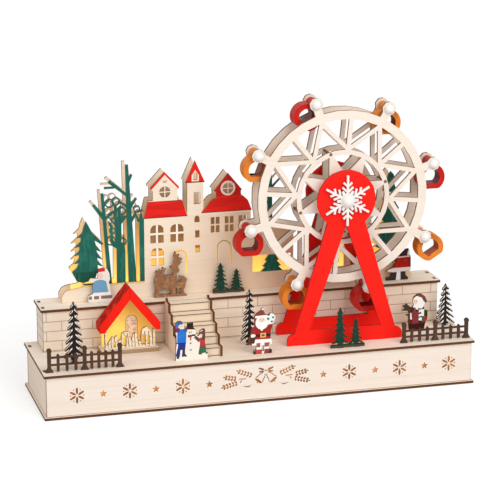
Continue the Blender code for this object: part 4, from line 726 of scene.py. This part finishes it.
COAT = (0.36, 0.018, 0.018)
printed("father_christmas", COAT, (
    (SNOW, -9, 45, 12.5, 45, 12.5, 57, -9, 57),
    ((0.34, 0.1, 0.08), -4.2, 52, -0.6, 52, -0.2, 57, -4.6, 57),
    ((0.34, 0.1, 0.08), 3.8, 52, 8.8, 52, 9.4, 57, 3.8, 57),
    ((0.5, 0.06, 0.05), -7.5, 45, 1.4, 45, 1, 49.6, -5.6, 49.6),
    ((0.3, 0.05, 0.04), 3.2, 45, 11.6, 45, 11, 49.4, 4, 49.8),
    (INK, 8.6, 45, 12.4, 45, 12.4, 49, 8.6, 48.6),
    (INK, -8, 45, -5, 45, -5.2, 48.6, -8, 48.2),
    (SNOW, -8, 56.3, 12, 56.3, 12, 59.8, -8, 60.2),
    ((0.055, 0.01, 0.006), -7, 62.6, 11, 62.6, 11, 65.4, -7, 65.4),
    ((0.8, 0.42, 0.14), -0.5, 61.7, 5.4, 61.7, 5.4, 66.4, -0.5, 66.4),
    ((0.22, 0.08, 0.03), 1, 63, 4, 63, 4, 65.1, 1, 65.1),
    (SNOW, -8.2, 64.2, 2.9, 1.7),
    ((0.06, 0.035, 0.02), -11.8, 56.4, -6.6, 56, -5.2, 62, -11.4, 62.2),
    (SNOW, 1.2, 77.2, 6.6, 7),
    (SNOW, 1.4, 68.6, 6.2, 75, -4.4, 75, 0.8, 68.6),
    (SKIN, 1, 80, 3.4, 2.3),
    ((0.8, 0.45, 0.36), 1.1, 79.2, 0.75, 0.75),
    (INK, -0.5, 80.7, 0.35, 0.45),
    (INK, 2.5, 80.7, 0.35, 0.45),
    ((0.24, 0.05, 0.035), -6, 84.6, 7, 84.6, 3.4, 89.8, -4.8, 89.8),
    ((0.24, 0.05, 0.035), -3.5, 88.6, 4.2, 88.6, 2.2, 91, -1, 91),
    (SNOW, -5.8, 82.2, 7.4, 82.4, 7, 84.8, -5.6, 84.4),
    (SNOW, 2.2, 91.2, 1.4, 1.2),
    ((0.8, 0.86, 0.84), 10.6, 80.6, 4.6, 5.6),
    ((0.02, 0.12, 0.12), 8.3, 85, 1.2, 1.2),
    ((0.02, 0.14, 0.15), 7.6, 80.6, 1.3, 1.2),
    ((0.03, 0.12, 0.12), 12.6, 81.8, 1.2, 1),
    ((0.03, 0.12, 0.18), 11.4, 77.6, 1.3, 0.9),
    (SNOW, 8.2, 76.3, 2.2, 1.5),
))

printed("sleigh_figure", (0.11, 0.012, 0.01), (
    ((0.05, 0.045, 0.03), 160, 55.5, 169, 55.5, 169, 75, 160, 75),
    (SNOW, 169.2, 56, 171.2, 56, 170.4, 63, 169.2, 63),
    ((0.24, 0.035, 0.045), 171.5, 50, 178, 50, 178.6, 64, 171, 64),
    (SNOW, 178.4, 54.5, 185, 53.4, 184.8, 66, 178.6, 66),
    ((0.03, 0.03, 0.03), 178.4, 57, 183.4, 58, 182, 59, 178.4, 58.4),
    ((0.05, 0.03, 0.03), 178, 60.8, 181.6, 61.4, 180.6, 63.6, 178.6, 62.6),
    ((0.02, 0.12, 0.07), 182, 52.2, 185, 52.2, 185.4, 58.6, 181.8, 58.6),
    ((0.4, 0.015, 0.02), 184.4, 52.6, 190, 52.6, 190, 58.4, 184.6, 57.6),
    ((0.025, 0.03, 0.01), 184.2, 58.4, 190, 58.8, 190, 66, 184.2, 65),
    ((0.045, 0.004, 0.002), 166, 45, 187, 45, 186, 51.4, 166, 51),
    (SNOW, 178, 73.4, 7, 7.4),
    (SKIN, 174.8, 74.6, 2.3, 2.4),
    (INK, 173.9, 75.3, 0.35, 0.45),
    (INK, 175.6, 75.3, 0.35, 0.45),
    ((0.17, 0.055, 0.04), 181.4, 78.6, 183.6, 74.4, 191, 70, 187, 84),
    ((0.17, 0.055, 0.04), 175.2, 81, 181.6, 78.4, 186, 80, 181, 84),
    ((0.1, 0.09, 0.09), 172.9, 64, 175.1, 64, 175.1, 68.4, 173.3, 68.4),
    ((0.1, 0.09, 0.09), 177.6, 65.6, 180.6, 65.8, 180.4, 67.4, 177.8, 67.4),
))

RED_HAT = (0.72, 0.02, 0.02)
printed("sledge_child", (0.86, 0.8, 0.74), (
    ((0.24, 0.18, 0.14), -158, 92.6, -134, 92.6, -134, 96.2, -158, 96.2),
    (SNOW, -154.8, 92, -152.8, 92, -152.8, 96.6, -154.8, 96.6),
    (SNOW, -147.6, 92, -145.6, 92, -145.6, 96.6, -147.6, 96.6),
    (SNOW, -160, 96, -132, 96, -132, 99.6, -160, 99.6),
    ((0.16, 0.36, 0.56), -155.6, 99.4, -138, 99.4, -140, 110.5, -153.4, 110.5),
    ((0.16, 0.36, 0.56), -146.6, 109, 6.6, 3.6),
    (SKIN, -146, 116.4, 3, 3.2),
    (RED_HAT, -151, 120.2, -141, 121, -141.6, 126, -150.6, 126),
))

# Figures and firs on the terrace, and the green pair before the wheel. Ply again: the deer
# are stained a warm brown, the firs are painted a dark green with scorched, ragged edges.

deer_loops = [
    [(-90.8, 89.2), (-90.7, 93.3), (-89.6, 93.9), (-90, 99.9), (-90.7, 104), (-90.9, 108),
     (-89.8, 110.6), (-88.5, 112.2), (-89.5, 115.3), (-89, 117.6), (-87.5, 117.5),
     (-87, 115.8), (-85.9, 116.4), (-86.2, 118.4), (-84.9, 118.5), (-83.9, 116.7),
     (-82.9, 117.6), (-82.8, 120.4), (-81.3, 120.5), (-80.6, 118.2), (-79, 119.4),
     (-80, 116.5), (-80.6, 114.5), (-79.3, 112.4), (-71.6, 112), (-71.8, 115),
     (-74.4, 119.2), (-75, 120.9), (-73.1, 121.2), (-70.8, 122.3), (-70.3, 128.3),
     (-70.8, 131.7), (-69.8, 136), (-68.4, 136.1), (-68.5, 132.9), (-66.5, 132.5),
     (-64.9, 133), (-65.9, 130.8), (-63.9, 128.7), (-62.3, 128.9), (-61.9, 127.2),
     (-63.2, 125.9), (-62.3, 124.2), (-63.9, 123.6), (-65.2, 121.7), (-66.5, 121.3),
     (-65.9, 118.7), (-64.9, 116.7), (-65.9, 114.4), (-67.5, 113.5), (-67.7, 107.5),
     (-68.8, 105.2), (-68.5, 104.2), (-63.2, 104.1), (-63.2, 107.3), (-65.5, 109.4),
     (-65.2, 110.8), (-63.2, 109.8), (-60, 109.8), (-57, 106.9), (-58, 103.7),
     (-59.3, 98.4), (-60.6, 95.8), (-60, 92.4), (-57.3, 90.3), (-57.2, 89.2)],
    [(-86.5, 98.1), (-84.9, 98.7), (-80.3, 96.8), (-75, 97.8), (-73.4, 96.4), (-73.7, 92.4),
     (-79.6, 92.4), (-85.5, 93)],
    [(-69.4, 98.1), (-67.7, 98.1), (-67.4, 92.3), (-69.1, 92.4)],
    [(-65.7, 98), (-63.2, 97.9), (-63, 92.4), (-65.9, 92.4)],
]
deer_piece = node_sheet("reindeer_pair", deer_loops)
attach(deer_piece, "village")
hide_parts("reindeer_pair")
deer = birch("reindeer_stain", "y", "z", pale=(0.28, 0.135, 0.065), streak=(0.2, 0.09, 0.042),
             burnt=(0.1, 0.045, 0.02), seed=15.2)
hide = deer.noise((260, 260, 260), 3.0, 0.6)
deer.paint(hide.over(0.5, 0.66) * 0.8, (0.42, 0.235, 0.125))
deer.paint(hide.over(0.42, 0.34) * 0.8 * (deer.x < -75), (0.12, 0.045, 0.018))
deer.dress(deer_piece)


BOUGH_TIERS = 6
PAIR_FOOT = 2.4


def jagged_side(top, foot, reach):
    """One side of a fir, from its top down: ragged boughs that droop to a point."""
    step = (top - foot) / (BOUGH_TIERS + 0.35)
    side = []
    for tier in range(BOUGH_TIERS):
        out = reach * (0.22 + 0.78 * (tier + 1) / BOUGH_TIERS)
        tip = top - step * (tier + 1.05)
        side += [(out * 0.55, tip + step * 0.34), (out, tip), (out * 0.86, tip - 0.9),
                 (out * 0.42, tip + step * 0.06)]
    side.append((1.6, foot))
    return side


def fir_pair(name, first_x, second_x, second_drop, reach, foot_height):
    """Two firs of different heights that stand on one low foot."""
    low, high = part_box(name)
    foot = low.z * MM + foot_height
    outline = [(low.x * MM, low.z * MM + PAIR_FOOT), (low.x * MM, foot)]
    for middle, top, size in ((first_x, high.z * MM, reach),
                              (second_x, high.z * MM - second_drop, reach * 0.84)):
        side = jagged_side(top, foot, size)
        outline += [(middle - x, z) for x, z in reversed(side)]
        outline.append((middle, top))
        outline += [(middle + x, z) for x, z in side]
    outline += [(high.x * MM, foot), (high.x * MM, low.z * MM + PAIR_FOOT)]
    piece = node_sheet(name, [outline])
    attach(piece, "village")
    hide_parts(name)
    return piece


fir_pairs = {"small_firs": fir_pair("small_firs", 81.7, 98.2, 11.6, 9.0, 5.6),
             "terrace_firs": fir_pair("terrace_firs", -22.1, -5.4, 7.4, 8.6, 5.0)}
for name, pair in fir_pairs.items():
    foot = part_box(name)[0].z * MM
    needles = Finish(name + "_paint", (0.008, 0.04, 0.024), 0.6)
    tuft = needles.noise((260, 260, 520), 4.0, 0.6)
    needles.paint(tuft.over(0.5, 0.72) * 0.8, (0.014, 0.085, 0.05))
    needles.paint(needles.z < foot + 4.4, (0.09, 0.05, 0.03))
    needles.paint(abs(needles.ny) < 0.5, (0.1, 0.055, 0.03))
    needles.emboss(tuft, 0.15)
    needles.dress(pair)

walker_outline = [(153.7, 89.2), (153.7, 92.3), (158.8, 93.2), (159.6, 98), (154.9, 98.5), (155.2, 100.9),
                  (160.9, 102.4), (163.8, 109.2), (166.2, 116.3), (170.4, 120.5), (173.9, 121.5),
                  (177.8, 122.2), (179, 119.9), (179, 115), (180.4, 114.8), (180.7, 102.7), (180.4, 99),
                  (174.8, 98.2), (175.4, 93.8), (177.8, 91.7), (177.8, 89.2)]
walker = node_sheet("terrace_figure", [walker_outline])
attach(walker, "village")
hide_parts("terrace_figure")
printed("terrace_figure", (0.44, 0.012, 0.006), (
    ((0.27, 0.008, 0.004), 178.4, 102.6, 182, 102.6, 182, 116, 178.6, 116),
    ((0.86, 0.8, 0.76), 150, 98, 184, 98, 184, 102.6, 150, 102.2),
    (INK, 150, 88, 164.6, 88, 165.6, 98, 150, 98),
    (SNOW, 164.4, 88, 170.2, 88, 169.4, 98.2, 165.4, 98.2),
    (INK, 169.6, 88, 182, 88, 182, 98.2, 169.4, 98.2),
    ((0.8, 0.66, 0.62), 158, 112.4, 182, 113.6, 182, 115, 158, 114),
    (INK, 158, 114, 176.4, 114.8, 182, 124, 158, 124),
    (SNOW, 176.4, 115.4, 181, 115.4, 181, 120.6, 177.4, 120.6),
), walker)

# The backdrop. Its front layer is a long fretted sheet: trees painted green, roofs painted
# red, bare walls with cut windows. The plain rear layer behind it catches the lamps' glow.


def mended_copy(name, merge=True):
    """A free copy of a CAD node's shape, welded, that stands in for the node."""
    piece = frame["nodes"][name].copy()
    piece.data = frame["nodes"][name].data.copy()
    piece.name = name + "_fine"
    piece.parent = None
    scene.collection.objects.link(piece)
    soften(piece, 0, merge)
    return piece


def joined(piece, other, operation, overlap=False):
    """Adds one solid to another or takes it away, and clears the other one up."""
    step = piece.modifiers.new("step", "BOOLEAN")
    step.operation = operation
    step.solver = "EXACT"
    step.use_self = overlap
    step.object = other
    take_up(piece)
    bpy.ops.object.modifier_apply(modifier="step")
    piece.select_set(False)
    bpy.data.objects.remove(other, do_unlink=True)


def one_mesh(pieces):
    """Joins several pieces into one object."""
    for piece in pieces:
        piece.select_set(True)
    bpy.context.view_layer.objects.active = pieces[0]
    bpy.ops.object.join()
    pieces[0].select_set(False)
    return pieces[0]


def bough(x, z, end_x, end_z, width):
    """A straight bough with blunt ends."""
    length = math.hypot(end_x - x, end_z - z)
    turn = math.degrees(math.atan2(end_z - z, end_x - x))
    half = width / 2
    shape = [(0, -half), (length, -half * 0.85), (length, half * 0.85), (0, half)]
    return placed(shape, x, z, turn)


big_fir = [(-158.2, 171.8), (-160.8, 166), (-162.2, 160.4), (-168.2, 155.2), (-163.6, 155.6),
           (-164, 151.4), (-170.6, 145.4), (-165.2, 146.2), (-165.4, 142.6), (-170.8, 137),
           (-165.8, 137.8), (-166.2, 134), (-171.4, 128.8), (-166.4, 129.4), (-168.6, 124.4),
           (-173.4, 120.8), (-170.8, 115.4), (-168.6, 110.8), (-162, 108.6), (-150, 112), (-148, 118),
           (-141.6, 116.4), (-147, 122.8), (-147.2, 126.2), (-141.4, 124.2), (-147, 130.6),
           (-147.6, 133.6), (-141.8, 131.4), (-147.2, 138.6), (-148.2, 141.6), (-142.8, 139.2),
           (-148.6, 147), (-149.8, 151.6), (-142.6, 146.6), (-140.8, 147.6), (-152.6, 160.4),
           (-155.2, 166)]
fir_clearing = [(-190, 110), (-174, 107.6), (-137.9, 107.6), (-141, 130), (-144.3, 152), (-146.6, 181),
                (-190, 181)]
BOUGHS = ((-150.4, 187.8, -139.6, 174.6, 3), (-139.8, 186.4, -135.2, 192.4, 2.2),
          (-139.6, 172, -129.6, 180.4, 2.4), (-134.2, 211.2, -116.8, 196, 3),
          (-139.2, 204.4, -129, 204.4, 2.2), (-115.2, 208.4, -111.6, 216.6, 2.6),
          (-125.2, 190.2, -116.6, 184.6, 2.4), (-113.6, 183.2, -107, 192.2, 2.6),
          (-127, 146, -128.4, 187, 3), (-126.6, 164, -117.6, 174.8, 3), (-127.8, 166, -133.4, 171.6, 2),
          (-112.6, 168, -107.6, 176.4, 2.2), (-106, 178, -100.4, 179.4, 2),
          (-104.6, 168, -108.8, 178.6, 2), (-127.8, 180, -122.4, 185.4, 1.6))
CURLS = ((-134.2, 188.6, 4.7), (-127.8, 190.2, 4.4), (-121.6, 180, 4.2), (-132.4, 175.6, 3.8),
         (-133.2, 150.2, 5), (-121.8, 148.4, 4.6), (-106.6, 181.2, 3.6), (-131.4, 160.2, 3.4))
layers = []
for name in ("backdrop_front", "backdrop_rear"):
    low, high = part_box(name)
    thickness = high.y - low.y
    layer = mended_copy(name, merge=False)
    clearing = cut_sheet("clearing", [fir_clearing], low.y - 0.005, thickness + 0.01, 0)
    joined(layer, clearing, "DIFFERENCE")
    parts = [cut_sheet("fir_cut", [big_fir], low.y, thickness, 0)]
    parts += [cut_sheet("bough", [bough(*numbers)], low.y, thickness, 0) for numbers in BOUGHS]
    parts += [cut_sheet("curl", [ring(x, z, radius, 18), ring(x, z, radius - 1.25, 18)],
                        low.y, thickness, 0) for x, z, radius in CURLS]
    joined(layer, one_mesh(parts), "UNION", overlap=True)
    soften(layer, 0.0002, merge=False)
    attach(layer, "village")
    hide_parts(name)
    layers.append(layer)
front_layer, rear_layer = layers

TREE_GREEN = (0.012, 0.115, 0.085)
ROOF_RED = (0.74, 0.014, 0.01)
ROOF_SHADE = (0.5, 0.012, 0.008)
town = birch("backdrop_print", "y", "x", pale=(0.86, 0.74, 0.6), streak=(0.78, 0.62, 0.46),
             burnt=(0.2, 0.1, 0.055), seed=16.4)
front = town.ny < -0.9
bark = town.noise((300, 300, 60), 3.0, 0.6)
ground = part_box("backdrop_front")[0].z * MM + 19.0
WOOD_END = -99.4
MANSARD_FOOT = 170.4
MANSARD_TOP = 187.6
HALL_FOOT = 172.4
TOWER_FOOT = 204.4
trees = (town.x < WOOD_END) & (town.z > ground)
trees = trees | ((town.x > 141.0) & (town.z > ground))
trees = trees | (town.x.within(19.0, 43.5) & (town.z > 154.0))
trees = trees | (town.x.within(13.3, 53.4) & town.z.within(106.9, 124.5))
# The walls are painted a deeper tan towards the right: painted shade from the wheel.
town.paint((town.x.over(-70, 0) * 0.55) & front & (town.z < 171), (0.76, 0.5, 0.32))
town.paint(trees & front, TREE_GREEN)
town.paint(trees & front & (bark > 0.56), (0.02, 0.155, 0.115))
town.paint((abs(town.x + 157.3) < 26) & (town.z < 120.0) & trees & front
           & (bark > 0.45), (0.008, 0.075, 0.05))

town.paint((town.x < WOOD_END) & (town.z < ground) & (town.z > 104.0) & front,
           (0.8, 0.55, 0.24))

mansard = field(town, (-100.2, MANSARD_FOOT), (-54.8, MANSARD_FOOT), (-60.2, MANSARD_TOP),
                (-95.2, MANSARD_TOP))
trim = (town.z + abs(town.x + 77.85) * 1.065 > 214.2) & town.x.within(-94.0, -62.0)
trim = trim & (town.z > 198.0)
tower = (town.z > TOWER_FOOT) & town.x.within(-58.0, -35.8)
hall = (town.z > HALL_FOOT) & (town.x > (town.z - HALL_FOOT) * 0.55 - 40.8)
hall = hall & (town.x < 13.5)
roofs = (mansard | trim | tower | hall) & front
town.paint(roofs, ROOF_RED)
sweep = town.noise((20, 20, 160), 3.0, 0.5)
town.paint(roofs & (sweep > 0.55), (0.62, 0.012, 0.008))
town.paint(hall & front & (town.z > 189.0), ROOF_SHADE)
# Dark lines along the feet of the roofs and the mansard's top edge: painted shade lines.
eaves = town.z.within(MANSARD_FOOT, MANSARD_FOOT + 0.9) & town.x.within(-100.2, -54.8)
eaves = eaves | (town.z.within(TOWER_FOOT, TOWER_FOOT + 1.2) & tower)
eaves = eaves | (town.z.within(HALL_FOOT, HALL_FOOT + 0.8) & hall)
eaves = eaves | (town.z.within(MANSARD_TOP - 0.6, MANSARD_TOP) & mansard)
town.paint(eaves & front, (0.22, 0.012, 0.008))
town.paint(oval(town, -12.8, 196.7, 7.6, 7.6) & front, (0.84, 0.66, 0.58))
town.paint(field(town, (-50.2, 205.8), (-42.8, 205.8), (-42.8, 212), (-46.5, 217.4),
                 (-50.2, 212)) & front, (0.88, 0.76, 0.56))


def window_cross(left, right, sill, top, half_bar, colour):
    """Prints the bars that cross in the middle of a cut window."""
    upright = abs(town.x - (left + right) / 2) < half_bar
    level = abs(town.z - (sill + top) / 2) < half_bar
    window = town.x.within(left, right) & town.z.within(sill, top)
    town.paint(window & (upright | level) & front, colour)


for left, right, sill, top in ((-93.2, -79.5, 144.7, 163.6), (-72.6, -58.9, 144.7, 163.4),
                               (-93.0, -79.4, 121.2, 140.0)):
    window_cross(left, right, sill, top, 1.1, (0.93, 0.86, 0.77))
for pane_x in (-26.2, -11.6, 2.8):
    window_cross(pane_x - 4.6, pane_x + 4.6, 151.6, 167.6, 0.8, (0.74, 0.6, 0.46))
door_lit = town.x.within(-71.0, -54.0) & town.z.within(108.0, 137.5)
town.paint(door_lit & town.cut, (0.85, 0.62, 0.1))
lit_edges = town.cut * town.z.over(100.0, 185.0, 0.55, 0.04)
town.glow(lit_edges, (1.0, 0.55, 0.13), 0.8)
town.dress(front_layer)

# The rear layer is painted browner than the front one: painted shade and warm lamp light. On its lamp
# side it is painted orange low down and glows, painted lamp light; behind the windows it is painted brown
# and glows less, painted shade.
rear = birch("backdrop_rear_birch", "y", "x", pale=(0.8, 0.66, 0.52), streak=(0.66, 0.5, 0.36),
             burnt=(0.2, 0.11, 0.06), seed=17.7)
lamp_side = (rear.ny < -0.9) & (abs(rear.x) < 172.0)
spots = rear.noise((30, 30, 18), 2.0, 0.5)
reach = rear.z.over(92.0, 196.0, 1.0, 0.0)
lit = reach * reach * spots.over(0.3, 0.7, 0.75, 1.15)
rear.paint(lamp_side * reach.over(0.05, 0.6) * 0.8, (0.8, 0.5, 0.2))
behind_panes = rear.x.within(-90.0, 22.0) & rear.z.within(132.0, 167.0)
behind_panes = behind_panes | oval(rear, -73.0, 192.0, 9.0, 9.0)
behind_panes = (behind_panes | oval(rear, -8.0, 191.0, 9.0, 9.0)) & lamp_side
rear.paint(behind_panes, (0.52, 0.36, 0.26))
rear.glow(lamp_side * lit * (1 - behind_panes * 0.85), (1.0, 0.67, 0.13), 1.1)
rear.dress(rear_layer)

# The wheel's two A-frames. Thick ply painted a bright satin red on both faces, and a darker
# red on the cut edges.

frame_red = mottled("frame_red_paint", (0.9, 0.013, 0.006), 0.5, (30, 30, 90),
                    (0.72, 0.01, 0.005), 0.35, depth=0.06)
frame_red.paint(abs(frame_red.ny) < 0.5, (0.5, 0.012, 0.01))
frame_red.dress("front_frame", "rear_frame")

# The wheel. Two pale fretted discs joined by four dowels, an axle with a round button
# behind the rear frame, and a white snowflake under a domed cap on its front end.

disc = birch("disc_birch", "y", "x", pale=(0.85, 0.765, 0.68), streak=(0.78, 0.66, 0.54),
             burnt=(0.27, 0.165, 0.095), seed=18.5)
wheel_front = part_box("wheel_front_disc")[0].y
wheel_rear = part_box("wheel_rear_disc")[1].y
discs = {}
for name in ("wheel_front_disc", "wheel_rear_disc"):
    discs[name] = mended_copy(name)
    soften(discs[name], 0.0003)
    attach(discs[name], "wheel")
    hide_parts(name)
disc.dress(discs["wheel_front_disc"])

# The rear disc is painted a little darker than the front one: painted shade behind the front disc.
back_disc = birch("rear_disc_birch", "y", "x", pale=(0.8, 0.7, 0.6),
                  streak=(0.7, 0.58, 0.45), burnt=(0.2, 0.12, 0.07), seed=19.1)
back_disc.paint(back_disc.y < wheel_rear * MM - 3.2, (0.24, 0.13, 0.07))
back_disc.dress(discs["wheel_rear_disc"])

beech = mottled("axle_beech", (0.72, 0.5, 0.3), 0.5, (400, 40, 400), (0.55, 0.35, 0.19), 0.6,
                0.45, 0.7)
beech.dress("axle")

white = mottled("white_paint", (0.86, 0.84, 0.82), 0.35, (200, 200, 200), (0.78, 0.77, 0.75),
                0.3, depth=0.03, detail=2.0)
flake = mended_copy("snowflake")
soften(flake, 0.0002)
white.dress(flake)
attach(flake, "wheel")
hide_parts("snowflake")


def turned_piece(name, profile, place, steps=40):
    """A lathe-turned shape about a line that runs front to back through a place."""
    bpy.ops.mesh.primitive_circle_add(vertices=len(profile))
    piece = bpy.context.object
    piece.name = name
    ends = {0, len(profile) - 1}
    for vertex, (radius, along) in zip(piece.data.vertices, profile):
        vertex.co = (radius, along, 0)
        vertex.select = vertex.index in ends
    for edge in piece.data.edges:
        edge.select = set(edge.vertices) == ends
    bpy.ops.object.mode_set(mode="EDIT")
    bpy.ops.mesh.delete(type="EDGE_FACE")
    bpy.ops.object.mode_set(mode="OBJECT")
    spin = piece.modifiers.new("spin", "SCREW")
    spin.axis = "Y"
    spin.steps = steps
    spin.render_steps = steps
    spin.use_merge_vertices = True
    spin.merge_threshold = 0.00001
    bpy.ops.object.modifier_apply(modifier="spin")
    piece.location = place
    bpy.ops.object.transform_apply(location=True, rotation=True, scale=True)
    bpy.ops.object.mode_set(mode="EDIT")
    bpy.ops.mesh.select_all(action="SELECT")
    bpy.ops.mesh.normals_make_consistent(inside=False)
    bpy.ops.object.mode_set(mode="OBJECT")
    bpy.ops.object.shade_smooth_by_angle(angle=math.radians(50))
    piece.select_set(False)
    return piece


def dome(radius, front, height, rings=10):
    """The outline of a domed cap whose flat back is the given height behind its front."""
    rim = [(0.0, front)]
    for step in range(1, rings + 1):
        angle = math.pi / 2 * step / rings
        rim.append((radius * math.sin(angle), front + height * (1 - math.cos(angle))))
    return rim


low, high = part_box("axle_cap")
cap_radius = (high.x - low.x) / 2 * 0.998
axle_x = (low.x + high.x) / 2
axle_z = (low.z + high.z) / 2
axle_dome = turned_piece("axle_cap_dome", dome(cap_radius, 0, high.y - low.y) +
                         [(0, high.y - low.y)], (axle_x, low.y, axle_z))
white.dress(axle_dome)
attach(axle_dome, "wheel")
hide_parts("axle_cap")

# The gondolas. Eight thick wooden cars, red and orange in turn, each with a round opening
# over a flat seat, and each hung on its own pin between a white cap and a small rear cap.

wheel_mid = (wheel_front + wheel_rear) / 2
car_half = (wheel_rear - wheel_front) / 2 - 0.005
seats = {}
for joint in frame["joints"]:
    if joint["child"].startswith("gondola_"):
        seats[joint["child"]] = Vector(joint["pos_m"])


def bar_or_box(kind, size, place, depth=0.03):
    """A round or square bar that lies front to back and is taken away from a solid."""
    if kind == "bar":
        bpy.ops.mesh.primitive_cylinder_add(vertices=64, radius=size, depth=depth,
                                            location=place, rotation=(math.pi / 2, 0, 0))
    else:
        bpy.ops.mesh.primitive_cube_add(size=1, location=place)
        bpy.context.object.scale = (size[0], depth, size[1])
    bpy.ops.object.transform_apply(location=True, rotation=True, scale=True)
    bar = bpy.context.object
    bar.select_set(False)
    return bar


CAR_RADIUS = 0.014
CAR_DROP = 0.0152
CAR_FLAT = 0.0116
CAR_OPENING = 0.0088
CAR_SEAT = 0.0064
CAR_BOSS = 0.0045
CORNER_ROUND = 0.0022
EDGE_ROUND = 0.00045
CUTTER_HEIGHT = 0.01
car = bar_or_box("bar", CAR_RADIUS, (0, 0, -CAR_DROP), 2 * car_half)
car.name = "car"
joined(car, bar_or_box("box", (0.06, CUTTER_HEIGHT),
                       (0, 0, -CAR_DROP - CAR_FLAT - CUTTER_HEIGHT / 2)), "DIFFERENCE")
weights = car.data.attributes.new("bevel_weight_edge", "FLOAT", "EDGE")
for edge in car.data.edges:
    ends = [car.data.vertices[index].co for index in edge.vertices]
    along = abs(ends[0].y - ends[1].y) > car_half
    at_foot = all(abs(end.z + CAR_DROP + CAR_FLAT) < 0.0001 for end in ends)
    if along and at_foot:
        weights.data[edge.index].value = 1.0
take_up(car)
bevelled(car, CORNER_ROUND, 4, limit="WEIGHT")
car.select_set(False)
opening = bar_or_box("bar", CAR_OPENING, (0, 0, -CAR_DROP))
joined(opening, bar_or_box("box", (0.06, CUTTER_HEIGHT),
                           (0, 0, -CAR_DROP - CAR_SEAT - CUTTER_HEIGHT / 2), 0.04), "DIFFERENCE")
joined(car, opening, "DIFFERENCE")
joined(car, bar_or_box("bar", CAR_BOSS, (0, 0, 0), 2 * car_half), "UNION")
take_up(car)
bevelled(car, EDGE_ROUND, 3, 50)
bpy.ops.object.shade_smooth_by_angle(angle=math.radians(30))
car.select_set(False)

PIN_RADIUS = 0.002
FRONT_CAP = 0.005
REAR_CAP = 0.004
pin_half = (wheel_rear - wheel_front) / 2 + 0.0003
pin_shape = dome(FRONT_CAP, -pin_half - FRONT_CAP, FRONT_CAP)
pin_shape += [(PIN_RADIUS, -pin_half), (PIN_RADIUS, pin_half), (REAR_CAP, pin_half),
              (0.0036, pin_half + 0.0007), (0.0022, pin_half + 0.0012),
              (0, pin_half + 0.0014)]
# Inside a car the colour is painted darker, as painted shade, out to this many millimetres from the
# opening's middle.
SHADED = 9.6
HANGS = {"gondola_3": 30, "gondola_8": -32}
RED_CAR = ("red_wood", (0.52, 0.012, 0.006), (0.38, 0.008, 0.005), (0.22, 0.006, 0.004))
ORANGE_CAR = ("orange_wood", (0.74, 0.215, 0.02), (0.66, 0.15, 0.014), (0.46, 0.08, 0.01))
for name, seat in seats.items():
    slot, body_colour, worn, shaded = RED_CAR if int(name[-1]) % 2 else ORANGE_CAR
    paint = mottled(name + "_paint", body_colour, 0.45, (70, 70, 70), worn, 0.4, depth=0.06)
    turn = math.radians(HANGS.get(name, 0))
    middle_x = (seat.x - math.sin(turn) * CAR_DROP) * MM
    middle_z = (seat.z - math.cos(turn) * CAR_DROP) * MM
    near_opening = oval(paint, middle_x, middle_z, SHADED, SHADED)
    paint.paint(near_opening & (abs(paint.ny) < 0.9), shaded)
    paint.paint(paint.y < (wheel_front - 0.0001) * MM, (0.86, 0.85, 0.83))
    paint.paint(paint.y > (wheel_rear + 0.0001) * MM, (0.8, 0.72, 0.6))
    piece = car.copy()
    piece.data = car.data.copy()
    piece.name = name + "_car"
    scene.collection.objects.link(piece)
    piece.rotation_euler = (0, turn, 0)
    piece.location = (seat.x, wheel_mid, seat.z)
    pivot = turned_piece(name + "_pivot", pin_shape, (seat.x, wheel_mid, seat.z), 32)
    take_up(piece)
    bpy.ops.object.transform_apply(location=True, rotation=True, scale=True)
    pivot.select_set(True)
    bpy.ops.object.join()
    piece.select_set(False)
    paint.dress(piece)
    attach(piece, name)
    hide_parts(name)
bpy.data.objects.remove(car, do_unlink=True)

# The lamps, the battery box and its cells, and the slide switch, all in or behind the back
# panel. Black plastic with a fine grain, steel cells, and a strip of small warm lamps.

plastic = mottled("black_plastic", (0.03, 0.03, 0.032), 0.5, (1500, 1500, 1500),
                  (0.045, 0.045, 0.048), 0.3, depth=0.03, detail=2.0)
plastic.dress("battery_box", "battery_lid", "switch_slider")

steel = mottled("cell_steel", (0.5, 0.51, 0.53), 0.3, (30, 2000, 2000), (0.4, 0.41, 0.43),
                0.4, 0.4, 0.7, detail=2.0, metallic=1.0)
steel.dress("cell_1", "cell_2")

for name in ("base_light_strip", "backdrop_light_strip"):
    strip = Finish(name + "_lamps", (0.75, 0.6, 0.32), 0.5)
    bead = (strip.x + 200.0).beside(20.0)
    strip.paint(bead < 3.0, (0.95, 0.8, 0.45))
    strip.glow(bead < 3.0, (1.0, 0.62, 0.2), 3.0)
    strip.dress(name)
